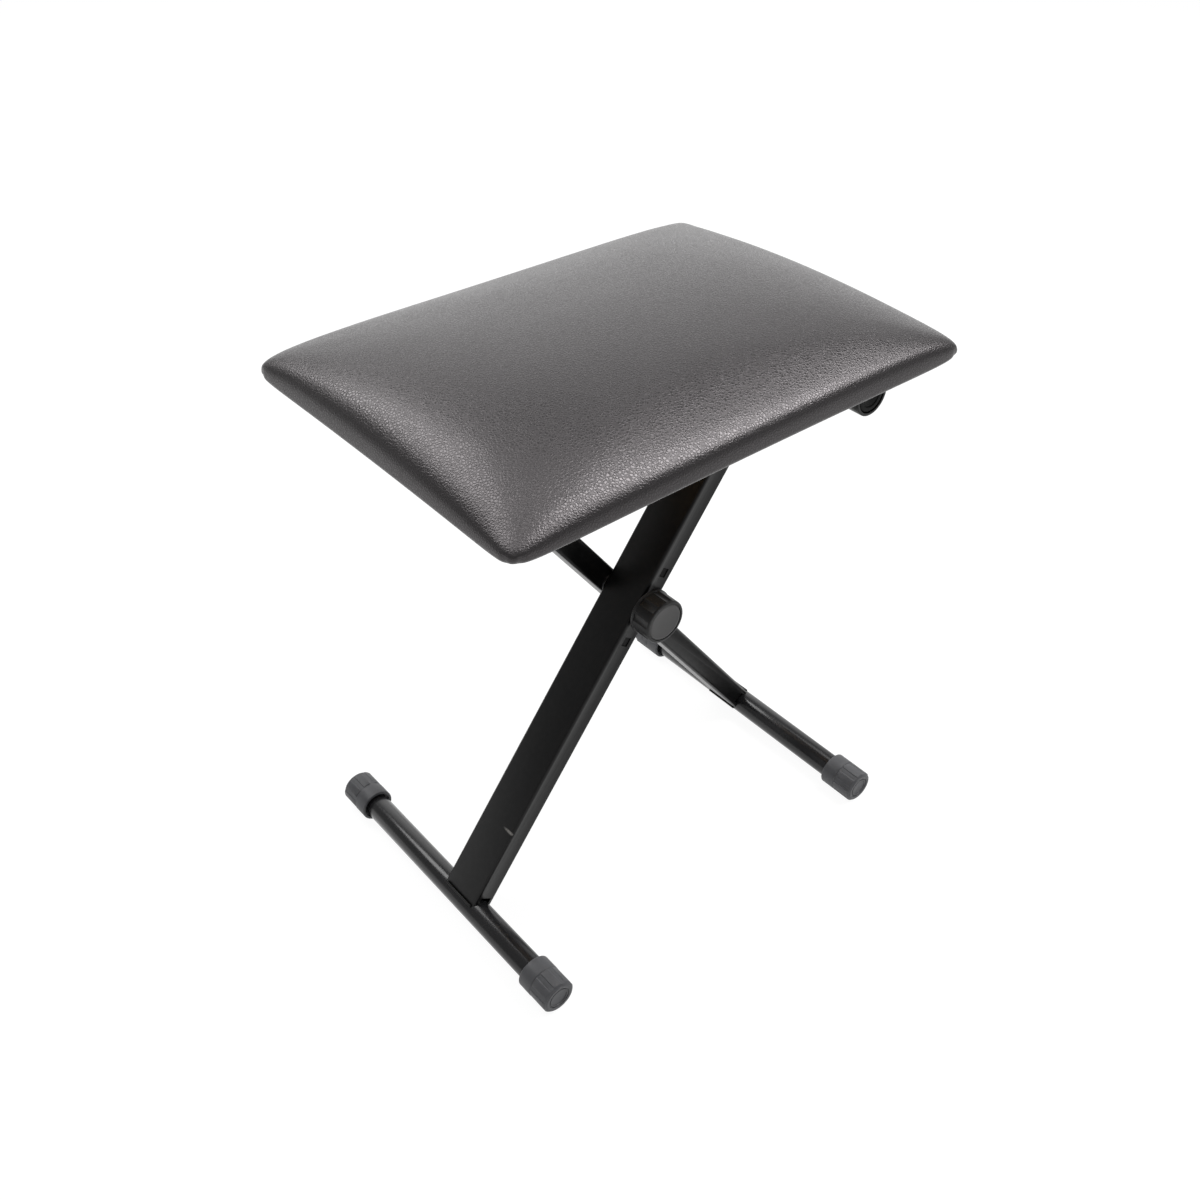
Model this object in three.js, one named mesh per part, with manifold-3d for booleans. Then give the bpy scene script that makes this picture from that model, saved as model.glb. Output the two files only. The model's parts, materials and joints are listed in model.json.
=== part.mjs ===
// Folding keyboard bench: an X frame of two rectangular steel legs that turns on a locking pivot
// and carries a padded seat. Lengths are millimetres and angles are degrees. +Z is up, X runs along
// the seat's long side and the front of the bench faces -Y. The origin lies on the floor, straight
// below the pivot.

import * as THREE from 'three';
import { mergeVertices } from 'three/addons/utils/BufferGeometryUtils.js';
import Module from 'manifold-3d';

const wasm = await Module();
wasm.setup();

// Gaps and cutting
const clearance = 0.3;
const overrun = 1;
const weldTolerance = 0.0001;

// Legs: straight rectangular tubes, cut to saddle the bars at both ends
const legWidth = 40;
const legThickness = 20;
const legWall = 1.5;
const legCornerRadius = 2.5;
const legInnerRadius = 1;
const legGap = 2.4;
const legAngle = 53.2;
const lowerLegLength = 297;
const weldNotchWidth = 11;
const weldNotchHeight = 3.5;

// Foot bars and their rubber caps
const footBarRadius = 11;
const footBarWall = 1.5;
const footSpan = 300;
const capWall = 3.7;
const capLength = 34;
const capEndWall = 4;
const capCollarLength = 14;
const capPanelCount = 8;
const capPanelStep = 0.6;
const capMouthGap = 1.2;
const capMouthDepth = 3;
const capEdgeBevel = 1.2;
const capRimWidth = 6;
const capRingWidth = 1.2;
const capRingDepth = 0.8;
const soleDepth = 0.5;

// Cross bars under the seat and their end plugs
const crossBarRadius = 12.7;
const crossBarWall = 1.5;
const hingeBarInset = 69.1;
const glideBarOverhang = 1;
const plugFlange = 1.5;
const plugStemLength = 12;
const plugStemWall = 1.6;
const plugRimWidth = 4.7;
const plugDishDepth = 0.6;

// Pivot and its lock
const pivotTubeRadius = 7;
const pivotTubeWall = 2;
const pivotTubeStandOut = 1.5;
const pivotWasherWidth = 2.2;
const pivotPlugLip = 2;
const pivotPlugThickness = 3;
const pivotPlugStem = 10;
const lockTeeth = 16;
const lockToothDepth = 0.9;
const lockRingWall = 0.9;
const lockRingLength = 6.8;
const lockRingSocket = 1.6;
const lockGearLength = 11;
const lockGearWall = 1.7;
const lockTravel = 7;
const plungerRadius = 3;
const gearPinRadius = 1;
const springWireRadius = 0.6;
const springTurns = 6;

// Guide block inside the front leg, held by two lugs in square holes
const guideEnd = 2;
const guidePlate = 2.5;
const squareHoleReach = 32;
const squareHoleWidth = 7;
const squareHoleLength = 8;
const lugRecess = 0.7;

// Knob and the bush it slides on
const knobRadius = 19;
const knobDepth = 20;
const knobWall = 2.2;
const knobFlangeLip = 0.6;
const knobFlangeDepth = 3;
const knobEdgeBevel = 1.2;
const knobGripCount = 8;
const knobGripRadius = 7;
const knobGripDepth = 1;
const knobHubWall = 1.7;
const knobInsertWall = 1.2;
const knobInsertLength = 9;
const knobStandOff = 4.4;
const knobRimWidth = 3;
const knobDiscThickness = 1.6;
const bushWall = 2.7;
const bushFlangeLip = 4;
const bushTail = 2.5;

// Seat board, foam and cover
const seatLength = 409;
const seatDepth = 300;
const seatCornerPower = 20;
const seatCornerHold = 8;
const seatLongDraw = 2;
const seatShortDraw = 0.5;
const boardThickness = 9;
const boardInset = 5.4;
const coverThickness = 1;
const coverFlap = 13;
const rimHeight = 12.5;
const rimBulge = 1;
const rimRound = 5;
const crownHeight = 26.5;
const crownLongPower = 6.2;
const crownLongRoot = 1.96;
const crownDeepPower = 1.7;
const crownDeepRoot = 2.31;
const foamInset = 7;
const foamSideMinimum = 2;

// Rails, straps, screws and threaded inserts under the board
const railThickness = 4;
const railWidth = 28;
const railSideMargin = 4;
const railEndMargin = 6;
const railStopHeight = 8;
const railStopLength = 3;
const strapThickness = 2.5;
const strapWidth = 16;
const strapOffset = 4;
const strapOverhang = 0.5;
const strapEarLength = 15;
const screwRadius = 2.5;
const screwHeadLip = 2.1;
const screwHeadHeight = 2.6;
const screwSocketRadius = 1.7;
const screwSocketDepth = 1.5;
const screwTipDrop = 0.5;
const railScrewInset = 16;
const railScrewInner = 10;
const nutFlangeLip = 4.3;
const nutFlangeThickness = 1.2;
const nutBarrelWall = 0.9;
const nutFloor = 0.8;

// Lock positions: the fold limits are whole teeth of the lock
const raiseTeeth = 1;

// Fineness of round shapes, as counts, and how the cushion's points crowd towards its corners
const barSides = 20;
const capSides = 16;
const panelSteps = 2;
const knobSides = 32;
const smallSides = 16;
const screwSides = 10;
const cornerSteps = 3;
const strapSteps = 8;
const springStepsPerTurn = 8;
const springSides = 5;
const seatSideSteps = 8;
const seatSpacingPower = 0.45;

// Shares of the way out and round the edge at which the cushion's rings lie, and of a pitch that a
// tooth or panel fills
const crownShares = [0.22, 0.44, 0.64, 0.79, 0.89, 0.95, 0.985, 1];
const rimTurnShares = [0, 0.35, 0.65, 1];
const lockToothShare = 0.4;
const gearToothShare = 0.3;
const panelShare = 0.72;

// Places worked out from the sizes above
const degree = Math.PI / 180;
const theta = legAngle * degree;
const capRadius = footBarRadius + clearance + capWall;
const capRingRadius = capRadius - capRimWidth;
const footBarHeight = capRadius - soleDepth;
const footReach = lowerLegLength * Math.cos(theta);
const pivotHeight = footBarHeight + lowerLegLength * Math.sin(theta);
const crossBarReach = seatLength / 2 - hingeBarInset;
const upperLegLength = crossBarReach / Math.cos(theta);
const crossBarHeight = pivotHeight + upperLegLength * Math.sin(theta);
const frontLegCentre = -(legGap + legWidth) / 2;
const rearLegCentre = (legGap + legWidth) / 2;
const frontFace = -legGap / 2 - legWidth;
const railTop = crossBarHeight + crossBarRadius + clearance + railThickness;
const boardBottom = railTop + clearance;
const boardTop = boardBottom + boardThickness;
const coverBottom = boardBottom - clearance - coverThickness;
const knobBack = frontFace - knobStandOff;
const ringRear = -legGap / 2 - legWall - clearance;
const ringFront = ringRear - lockRingLength;
const pivotTubeFront = ringRear - lockRingSocket + clearance;
const gearRear = pivotTubeFront - 2 * clearance;
const gearFront = gearRear - lockGearLength;
const guideFront = frontFace + legWall + clearance;
const lockGearRoot = plungerRadius + clearance + lockGearWall;
const lockGearTip = lockGearRoot + lockToothDepth;
const lockToothTip = lockGearTip + clearance;
const lockToothRoot = lockToothTip + lockToothDepth;
const lockRingRadius = pivotTubeRadius + clearance + lockRingWall;
const springCoilRadius = plungerRadius + springWireRadius + 2 * clearance;
const guideHalfLength = squareHoleReach + squareHoleLength / 2 + guideEnd;
const knobFlangeRadius = knobRadius + knobFlangeLip;
const knobDiscRadius = knobRadius - knobRimWidth;
const knobInsertRadius = plungerRadius + clearance + knobInsertWall;
const knobHubRadius = knobInsertRadius + clearance + knobHubWall;
const bushRadius = plungerRadius + clearance + bushWall;
const bushFlangeRadius = bushRadius + bushFlangeLip;
const railCentre = seatDepth / 2 - seatLongDraw - coverFlap - railSideMargin - railWidth / 2;
const railLength = seatLength - 2 * (seatShortDraw + coverFlap + railEndMargin);
const glideBarSpan = 2 * (railCentre + glideBarOverhang);
const strapCentre = railCentre + strapOffset;
const hingeBarSpan = 2 * (strapCentre - strapOverhang) + strapWidth;
const screwHeadRadius = screwRadius + screwHeadLip;
const nutBarrelRadius = screwRadius + clearance + nutBarrelWall;
const nutFlangeRadius = nutBarrelRadius + nutFlangeLip;
const nutBarrelLength = boardThickness - nutFlangeThickness - nutFloor;
const strapInner = (crossBarRadius + clearance) / Math.cos(Math.PI / (2 * strapSteps));

const unitX = new THREE.Vector3(1, 0, 0);
const unitY = new THREE.Vector3(0, 1, 0);
const unitZ = new THREE.Vector3(0, 0, 1);
const alongX = new THREE.Matrix4().makeBasis(unitY, unitZ, unitX);
const alongY = new THREE.Matrix4().makeBasis(unitZ, unitX, unitY);
const standing = new THREE.Matrix4().makeBasis(unitX, unitZ, unitY);
const halfTurn = new THREE.Matrix4().makeRotationZ(Math.PI);

/** A translation matrix. */
function shift(x, y, z) {
  return new THREE.Matrix4().makeTranslation(x, y, z);
}

/** A closed solid from a geometry: shared corners merged, flat faces dropped, all faces outward. */
function solidOf(geometry, ...matrices) {
  const bare = geometry.clone();
  bare.deleteAttribute('normal');
  bare.deleteAttribute('uv');
  const welded = mergeVertices(bare, weldTolerance);
  for (const matrix of matrices) welded.applyMatrix4(matrix);
  const place = welded.getAttribute('position');
  const corner = (i) => new THREE.Vector3().fromBufferAttribute(place, i);
  const faces = [];
  let volume = 0;
  for (let i = 0; i < welded.index.count; i += 3) {
    const [a, b, c] = [0, 1, 2].map((k) => welded.index.getX(i + k));
    if (a === b || b === c || c === a) continue;
    faces.push([a, b, c]);
    volume += corner(a).dot(corner(b).cross(corner(c)));
  }
  const outward = volume > 0 ? faces : faces.map(([a, b, c]) => [a, c, b]);
  const vertProperties = new Float32Array(place.array);
  const triVerts = new Uint32Array(outward.flat());
  return new wasm.Manifold(new wasm.Mesh({ numProp: 3, vertProperties, triVerts }));
}

/** A three.js geometry from a solid. */
function geometryOf(solid) {
  const mesh = solid.getMesh();
  const geometry = new THREE.BufferGeometry();
  geometry.setAttribute('position', new THREE.BufferAttribute(new Float32Array(mesh.vertProperties), 3));
  geometry.setIndex(new THREE.BufferAttribute(new Uint32Array(mesh.triVerts), 1));
  geometry.computeVertexNormals();
  return geometry;
}

/** A rectangle with round corners, centred on the origin. */
function roundedRectangle(width, height, radius) {
  const x = width / 2 - radius;
  const y = height / 2 - radius;
  const shape = new THREE.Shape();
  shape.absarc(x, y, radius, 0, Math.PI / 2);
  shape.absarc(-x, y, radius, Math.PI / 2, Math.PI);
  shape.absarc(-x, -y, radius, Math.PI, Math.PI * 1.5);
  shape.absarc(x, -y, radius, Math.PI * 1.5, Math.PI * 2);
  shape.closePath();
  return shape;
}

/** A prism of a shape from one height to another, with its axis along Z. */
function prism(shape, from, to, steps = cornerSteps) {
  const options = { depth: to - from, bevelEnabled: false, curveSegments: steps };
  return new THREE.ExtrudeGeometry(shape, options).translate(0, 0, from);
}

/** A box from its lowest and highest corners. */
function box(low, high) {
  const size = high.map((value, i) => value - low[i]);
  const middle = high.map((value, i) => (value + low[i]) / 2);
  return new THREE.BoxGeometry(...size).translate(...middle);
}

/** A cylinder round the Y axis between two places on it. */
function rodY(radius, from, to, sides = smallSides) {
  return new THREE.CylinderGeometry(radius, radius, Math.abs(to - from), sides)
    .translate(0, (from + to) / 2, 0);
}

/** A solid of revolution round the Y axis from [radius, place] pairs that start and end on the axis. */
function latheY(profile, sides = smallSides) {
  return new THREE.LatheGeometry(profile.map(([r, y]) => new THREE.Vector2(r, y)), sides);
}

/** A solid of revolution with a bore: the profile is a loop that closes on itself. */
function ringY(profile, sides = smallSides) {
  return latheY([...profile, profile[0]], sides);
}

/** A closed outline of points. */
function outline(points) {
  return new THREE.Shape(points.map(([x, y]) => new THREE.Vector2(x, y)));
}

/** A toothed outline between two radii, with a given share of each pitch at the outer one. */
function toothed(root, tip, share) {
  const points = [];
  const pitch = (2 * Math.PI) / lockTeeth;
  for (let i = 0; i < lockTeeth; i += 1) {
    const middle = i * pitch;
    const corners = [
      [root, middle - ((1 - share) * pitch) / 2],
      [tip, middle - (share * pitch) / 2],
      [tip, middle + (share * pitch) / 2],
      [root, middle + ((1 - share) * pitch) / 2],
    ];
    for (const [radius, angle] of corners) {
      points.push([radius * Math.cos(angle), radius * Math.sin(angle)]);
    }
  }
  return outline(points);
}

const finishes = {
  blackPaint: { color: 0x17171a, roughness: 0.38, metalness: 0.1 },
  glossPaint: { color: 0x101012, roughness: 0.2, metalness: 0.1 },
  rubber: { color: 0x3a3b3e, roughness: 0.72, metalness: 0 },
  plastic: { color: 0x202124, roughness: 0.45, metalness: 0 },
  steel: { color: 0xa9adb2, roughness: 0.35, metalness: 1 },
  vinyl: { color: 0x2a2a2e, roughness: 0.42, metalness: 0 },
  foam: { color: 0xd9d3bf, roughness: 0.95, metalness: 0 },
  plywood: { color: 0xb08a5c, roughness: 0.8, metalness: 0 },
};

/** A named piece with a material of its own. */
function piece(name, solid, finish) {
  const geometry = solid.isBufferGeometry ? solid : geometryOf(solid);
  const mesh = new THREE.Mesh(geometry, new THREE.MeshStandardMaterial(finishes[finish]));
  mesh.name = name;
  return mesh;
}

/** A leg tube in its own frame: pivot at the origin, upper end along +X, width along Y. */
function legTube(centreY) {
  const section = roundedRectangle(legWidth, legThickness, legCornerRadius);
  const inner = roundedRectangle(legWidth - 2 * legWall, legThickness - 2 * legWall, legInnerRadius);
  section.holes.push(inner);
  const turn = shift(0, centreY, 0);
  let tube = solidOf(prism(section, -lowerLegLength, upperLegLength), alongX, turn);
  const half = legWidth / 2 + overrun;
  const footCut = rodY(footBarRadius + clearance, -half, half, barSides);
  tube = tube.subtract(solidOf(footCut, shift(-lowerLegLength, centreY, 0)));
  const crossCut = rodY(crossBarRadius + clearance, -half, half, barSides);
  tube = tube.subtract(solidOf(crossCut, shift(upperLegLength, centreY, 0)));
  const notchEnd = -lowerLegLength + footBarRadius + weldNotchHeight;
  const notch = box([-lowerLegLength, -half, -weldNotchWidth / 2], [notchEnd, half, weldNotchWidth / 2]);
  return tube.subtract(solidOf(notch, turn));
}

/** The front leg's tube with its bush hole, pivot hole and two square lug holes. */
function frontLegTube() {
  let tube = legTube(frontLegCentre);
  const front = [frontFace - overrun, frontFace + legWall + overrun];
  tube = tube.subtract(solidOf(rodY(bushRadius + clearance, ...front)));
  const rearWall = [-legGap / 2 - legWall - overrun, -legGap / 2 + overrun];
  tube = tube.subtract(solidOf(rodY(pivotTubeRadius + clearance, ...rearWall)));
  for (const side of [-1, 1]) {
    const middle = side * squareHoleReach;
    const hole = box(
      [middle - squareHoleLength / 2, front[0], -squareHoleWidth / 2],
      [middle + squareHoleLength / 2, front[1], squareHoleWidth / 2],
    );
    tube = tube.subtract(solidOf(hole));
  }
  return tube;
}

/** The rear leg's tube with the pivot tube's hole through both narrow walls. */
function rearLegTube() {
  const bore = rodY(pivotTubeRadius + clearance, legGap / 2 - overrun, legGap / 2 + legWidth + overrun);
  return legTube(rearLegCentre).subtract(solidOf(bore));
}

/** A round tube along Y, centred on the origin. */
function roundBar(radius, wall, length) {
  const half = length / 2;
  return solidOf(ringY([
    [radius, -half], [radius, half], [radius - wall, half], [radius - wall, -half],
  ], barSides));
}

/** A foot cap whose end face looks along -Y, its bar axis on the Y axis. */
function footCap() {
  const end = -footSpan / 2;
  const mouth = end + capLength;
  const collarStart = mouth - capCollarLength;
  const boreEnd = end + capEndWall;
  const bore = footBarRadius + clearance;
  const base = capRadius - capPanelStep;
  const body = solidOf(latheY([
    [0, end], [capRingRadius - capRingWidth, end], [capRingRadius - capRingWidth, end + capRingDepth],
    [capRingRadius, end + capRingDepth], [capRingRadius, end], [base - capEdgeBevel, end],
    [base, end + capEdgeBevel], [base, collarStart - capPanelStep], [capRadius, collarStart],
    [capRadius, mouth - capEdgeBevel / 2], [capRadius - capEdgeBevel / 2, mouth],
    [bore + capMouthGap, mouth], [bore + capMouthGap, mouth - capMouthDepth],
    [bore, mouth - capMouthDepth], [bore, boreEnd], [0, boreEnd],
  ], capSides));
  const points = [];
  const pitch = (2 * Math.PI) / capPanelCount;
  for (let i = 0; i < capPanelCount; i += 1) {
    for (let step = 0; step <= panelSteps; step += 1) {
      const angle = pitch * (i + panelShare * (step / panelSteps - 0.5));
      points.push([capRadius * Math.cos(angle), capRadius * Math.sin(angle)]);
    }
    for (const edge of [panelShare / 2, 1 - panelShare / 2]) {
      const angle = pitch * (i + edge);
      points.push([(base - capPanelStep) * Math.cos(angle), (base - capPanelStep) * Math.sin(angle)]);
    }
  }
  const panels = outline(points);
  const core = new THREE.Path();
  core.absarc(0, 0, base - 2 * capPanelStep, 0, 2 * Math.PI, true);
  panels.holes.push(core);
  const grips = solidOf(prism(panels, end + capEdgeBevel, collarStart - capPanelStep, capSides), alongY);
  const low = [-capRadius - overrun, end - overrun, -capRadius - overrun];
  const high = [capRadius + overrun, mouth + overrun, -footBarHeight];
  return body.add(grips).subtract(solidOf(box(low, high)));
}

/** An end plug for a cross bar: a dished flange with a hollow stem, its face along -Y at the given place. */
function barPlug(face) {
  const back = face + plugFlange;
  const stem = crossBarRadius - crossBarWall - clearance;
  const dish = crossBarRadius - plugRimWidth;
  return solidOf(latheY([
    [0, face + plugDishDepth], [dish, face + plugDishDepth], [dish + plugDishDepth, face],
    [crossBarRadius - plugDishDepth, face], [crossBarRadius, face + plugDishDepth],
    [crossBarRadius, back], [stem, back], [stem, back + plugStemLength],
    [stem - plugStemWall, back + plugStemLength], [stem - plugStemWall, back], [0, back],
  ], barSides));
}

/** The lock ring: sixteen inner teeth in front, a socket for the pivot tube behind. */
function lockRing() {
  const outer = solidOf(rodY(lockRingRadius, ringFront, ringRear, barSides));
  const teeth = toothed(lockToothTip, lockToothRoot, lockToothShare);
  const toothCut = prism(teeth, ringFront - overrun, ringRear + overrun);
  const socket = rodY(pivotTubeRadius + clearance, ringRear - lockRingSocket, ringRear + overrun, barSides);
  return outer.subtract(solidOf(toothCut, alongY)).subtract(solidOf(socket));
}

/** The guide block: a plate behind the leg's front face, two lugs and a splined boss. */
function guideBlock() {
  const halfAcross = legThickness / 2 - legWall - clearance;
  const plateBack = guideFront + guidePlate;
  const bossEnd = ringFront - 2 * clearance;
  const plate = box([-guideHalfLength, guideFront, -halfAcross], [guideHalfLength, plateBack, halfAcross]);
  const boss = rodY(halfAcross, plateBack - clearance, bossEnd, barSides);
  let block = solidOf(plate).add(solidOf(boss));
  for (const side of [-1, 1]) {
    const middle = side * squareHoleReach;
    const lug = box(
      [middle - squareHoleLength / 2 + clearance, frontFace + lugRecess, clearance - squareHoleWidth / 2],
      [middle + squareHoleLength / 2 - clearance, plateBack, squareHoleWidth / 2 - clearance],
    );
    block = block.add(solidOf(lug));
  }
  const splineFront = bossEnd - lockGearLength - lockTravel;
  const splines = toothed(lockToothTip, lockToothRoot, lockToothShare);
  block = block.subtract(solidOf(prism(splines, splineFront, bossEnd + overrun), alongY));
  const bore = rodY(bushRadius + clearance, guideFront - overrun, splineFront + clearance, barSides);
  return block.subtract(solidOf(bore));
}

/** The sliding gear with the bore for the plunger and the hole for its cross pin. */
function lockGear() {
  const teeth = prism(toothed(lockGearRoot, lockGearTip, gearToothShare), gearFront, gearRear);
  const bore = rodY(plungerRadius + clearance, gearFront - overrun, gearRear + overrun);
  return solidOf(teeth, alongY).subtract(solidOf(bore)).subtract(pinHole());
}

/** The cutting tool for the cross pin's hole, across the leg through the gear's middle. */
function pinHole() {
  const reach = lockToothTip + overrun;
  const along = new THREE.Matrix4().makeRotationX(Math.PI / 2);
  const hole = rodY(gearPinRadius + clearance, -reach, reach);
  return solidOf(hole, along, shift(0, (gearFront + gearRear) / 2, 0));
}

/** The cross pin itself. */
function gearPin() {
  const reach = lockGearRoot - clearance;
  const along = new THREE.Matrix4().makeRotationX(Math.PI / 2);
  return solidOf(rodY(gearPinRadius, -reach, reach), along, shift(0, (gearFront + gearRear) / 2, 0));
}

/** The knob's shell: a flange, a gripped rim, a hub for the insert and a seat for the front disc. */
function knobShell() {
  const front = knobBack - knobDepth;
  const seat = front + knobDiscThickness;
  const webBack = seat + knobWall;
  const inner = knobRadius - knobWall - knobGripDepth;
  const hubBack = knobBack - clearance;
  const body = solidOf(latheY([
    [0, seat], [knobDiscRadius + clearance, seat], [knobDiscRadius + clearance, front],
    [knobRadius - knobEdgeBevel, front], [knobRadius, front + knobEdgeBevel],
    [knobRadius, knobBack - knobFlangeDepth], [knobFlangeRadius, knobBack - knobFlangeDepth],
    [knobFlangeRadius, knobBack], [inner, knobBack], [inner, webBack], [knobHubRadius, webBack],
    [knobHubRadius, hubBack], [0, hubBack],
  ], knobSides));
  const insert = rodY(knobInsertRadius + clearance, hubBack + overrun, hubBack - knobInsertLength);
  const shaft = rodY(plungerRadius + clearance, hubBack + overrun, seat - overrun);
  let knob = body.subtract(solidOf(insert)).subtract(solidOf(shaft));
  const gripCentre = knobRadius + knobGripRadius - knobGripDepth;
  for (let i = 0; i < knobGripCount; i += 1) {
    const angle = ((i + 0.5) * 2 * Math.PI) / knobGripCount;
    const grip = rodY(knobGripRadius, front + knobEdgeBevel, knobBack - knobFlangeDepth, knobSides);
    const place = shift(gripCentre * Math.cos(angle), 0, gripCentre * Math.sin(angle));
    knob = knob.subtract(solidOf(grip, place));
  }
  return knob;
}

/** The plain disc let into the knob's front. */
function knobDisc() {
  const front = knobBack - knobDepth;
  const back = front + knobDiscThickness - clearance;
  return solidOf(latheY([
    [0, front], [knobDiscRadius - knobEdgeBevel, front], [knobDiscRadius, front + knobEdgeBevel / 2],
    [knobDiscRadius, back], [0, back],
  ], knobSides));
}

/** The steel insert that grips the plunger inside the knob's hub. */
function knobInsert() {
  const hubBack = knobBack - clearance;
  const front = hubBack - knobInsertLength + clearance;
  return solidOf(ringY([
    [knobInsertRadius, front], [knobInsertRadius, hubBack],
    [plungerRadius + clearance, hubBack], [plungerRadius + clearance, front],
  ]));
}

/** The plunger from inside the knob to the back of the gear, with its cross hole. */
function plunger() {
  const front = knobBack - knobDepth + knobDiscThickness + clearance;
  return solidOf(rodY(plungerRadius, front, gearRear)).subtract(pinHole());
}

/** The flanged bush in the front leg's outer wall. */
function knobBush() {
  const tail = guideFront + guidePlate + bushTail;
  return solidOf(ringY([
    [bushFlangeRadius, knobBack + clearance], [bushFlangeRadius, frontFace - clearance],
    [bushRadius, frontFace - clearance], [bushRadius, tail],
    [plungerRadius + clearance, tail], [plungerRadius + clearance, knobBack + clearance],
  ], barSides));
}

/** The return spring: one unbroken wire wound round the plunger. */
function returnSpring() {
  const start = guideFront + guidePlate + bushTail + clearance + springWireRadius;
  const end = gearFront - clearance - springWireRadius;
  const steps = springTurns * springStepsPerTurn;
  const centres = [];
  for (let i = 0; i <= steps; i += 1) {
    const angle = (2 * Math.PI * i) / springStepsPerTurn;
    const y = start + ((end - start) * i) / steps;
    const x = springCoilRadius * Math.cos(angle);
    centres.push(new THREE.Vector3(x, y, springCoilRadius * Math.sin(angle)));
  }
  const positions = [];
  const index = [];
  centres.forEach((centre) => {
    const out = new THREE.Vector3(centre.x, 0, centre.z).normalize();
    for (let k = 0; k < springSides; k += 1) {
      const turn = (2 * Math.PI * k) / springSides;
      const point = centre.clone()
        .addScaledVector(out, springWireRadius * Math.cos(turn))
        .addScaledVector(unitY, springWireRadius * Math.sin(turn));
      positions.push(point.x, point.y, point.z);
    }
  });
  for (let i = 0; i < steps; i += 1) {
    for (let k = 0; k < springSides; k += 1) {
      const a = i * springSides + k;
      const b = i * springSides + ((k + 1) % springSides);
      index.push(a, b, b + springSides, a, b + springSides, a + springSides);
    }
  }
  const last = steps * springSides;
  for (let k = 1; k < springSides - 1; k += 1) {
    index.push(0, k + 1, k, last, last + k, last + k + 1);
  }
  const geometry = new THREE.BufferGeometry();
  geometry.setAttribute('position', new THREE.Float32BufferAttribute(positions, 3));
  geometry.setIndex(index);
  const rise = (end - start) / springTurns;
  console.log(`return spring: least gap between turns ${(rise - 2 * springWireRadius).toFixed(2)} mm`);
  return solidOf(geometry);
}

/** The pivot tube, welded through the rear leg and turning in the front leg's rear wall. */
function pivotTube() {
  const rear = legGap / 2 + legWidth + pivotTubeStandOut;
  return solidOf(ringY([
    [pivotTubeRadius, pivotTubeFront], [pivotTubeRadius, rear],
    [pivotTubeRadius - pivotTubeWall, rear], [pivotTubeRadius - pivotTubeWall, pivotTubeFront],
  ], barSides));
}

/** The thin washer that keeps the legs' paint apart. */
function pivotWasher() {
  const half = legGap / 2 - clearance;
  const bore = pivotTubeRadius + clearance;
  const outer = bore + pivotWasherWidth;
  return solidOf(ringY([[outer, -half], [outer, half], [bore, half], [bore, -half]], barSides));
}

/** The plastic plug that closes the pivot tube behind the rear leg. */
function pivotPlug() {
  const start = legGap / 2 + legWidth + pivotTubeStandOut + clearance;
  const stem = pivotTubeRadius - pivotTubeWall - clearance;
  const outer = pivotTubeRadius + pivotPlugLip;
  return solidOf(latheY([
    [0, start - pivotPlugStem], [stem, start - pivotPlugStem], [stem, start], [outer, start],
    [outer, start + pivotPlugThickness / 2],
    [outer - pivotPlugThickness / 2, start + pivotPlugThickness], [0, start + pivotPlugThickness],
  ], barSides));
}

/** Places round the seat's edge, as shares of its half length and half depth on a unit square. */
function rimShares() {
  const side = [];
  for (let i = 0; i < seatSideSteps; i += 1) {
    const share = (2 * i) / seatSideSteps - 1;
    side.push(Math.sign(share) * Math.abs(share) ** seatSpacingPower);
  }
  return [
    ...side.map((share) => [share, -1]), ...side.map((share) => [1, share]),
    ...side.map((share) => [-share, 1]), ...side.map((share) => [-1, -share]),
  ];
}

/** A point of the seat's plan at a share of the way out, pulled in by an inset. */
function planPoint(u, v, inset) {
  const give = 1 / (seatCornerPower + seatCornerHold + 1);
  const round = (along, across) => (
    1 - give * Math.abs(across) ** seatCornerPower * Math.abs(along) ** seatCornerHold
  );
  const drawX = seatShortDraw * (1 - v * v) * Math.abs(u);
  const drawY = seatLongDraw * (1 - u * u) * Math.abs(v);
  return [
    u * round(u, v) * (seatLength / 2 - inset - drawX),
    v * round(v, u) * (seatDepth / 2 - inset - drawY),
  ];
}

/** The crown's height above the rim at a place of the plan. */
function crown(u, v) {
  const fall = (share, power, root) => Math.max(0, 1 - Math.abs(share) ** power) ** (1 / root);
  return crownHeight * fall(u, crownLongPower, crownLongRoot) * fall(v, crownDeepPower, crownDeepRoot);
}

/** A ring of the cushion: how far out it lies, its inset and its height. */
function cushionRing(share, inset, height) {
  return rimShares().map(([u, v]) => {
    const [x, y] = planPoint(u * share, v * share, inset);
    return new THREE.Vector3(x, y, height + crown(u * share, v * share));
  });
}

/** A closed surface through rings that share a point count, closed at both ends by a middle point. */
function skin(rings, first, last) {
  const count = rings[0].length;
  const points = [first, ...rings.flat(), last];
  const index = [];
  for (let k = 0; k < count; k += 1) {
    const next = (k + 1) % count;
    index.push(0, 1 + k, 1 + next);
    for (let j = 0; j < rings.length - 1; j += 1) {
      const a = 1 + j * count;
      const b = a + count;
      index.push(a + k, b + k, b + next, a + k, b + next, a + next);
    }
    const a = 1 + (rings.length - 1) * count;
    index.push(a + k, points.length - 1, a + next);
  }
  const geometry = new THREE.BufferGeometry();
  geometry.setAttribute('position', new THREE.Float32BufferAttribute(points.flatMap((p) => p.toArray()), 3));
  geometry.setIndex(index);
  return geometry;
}

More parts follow.
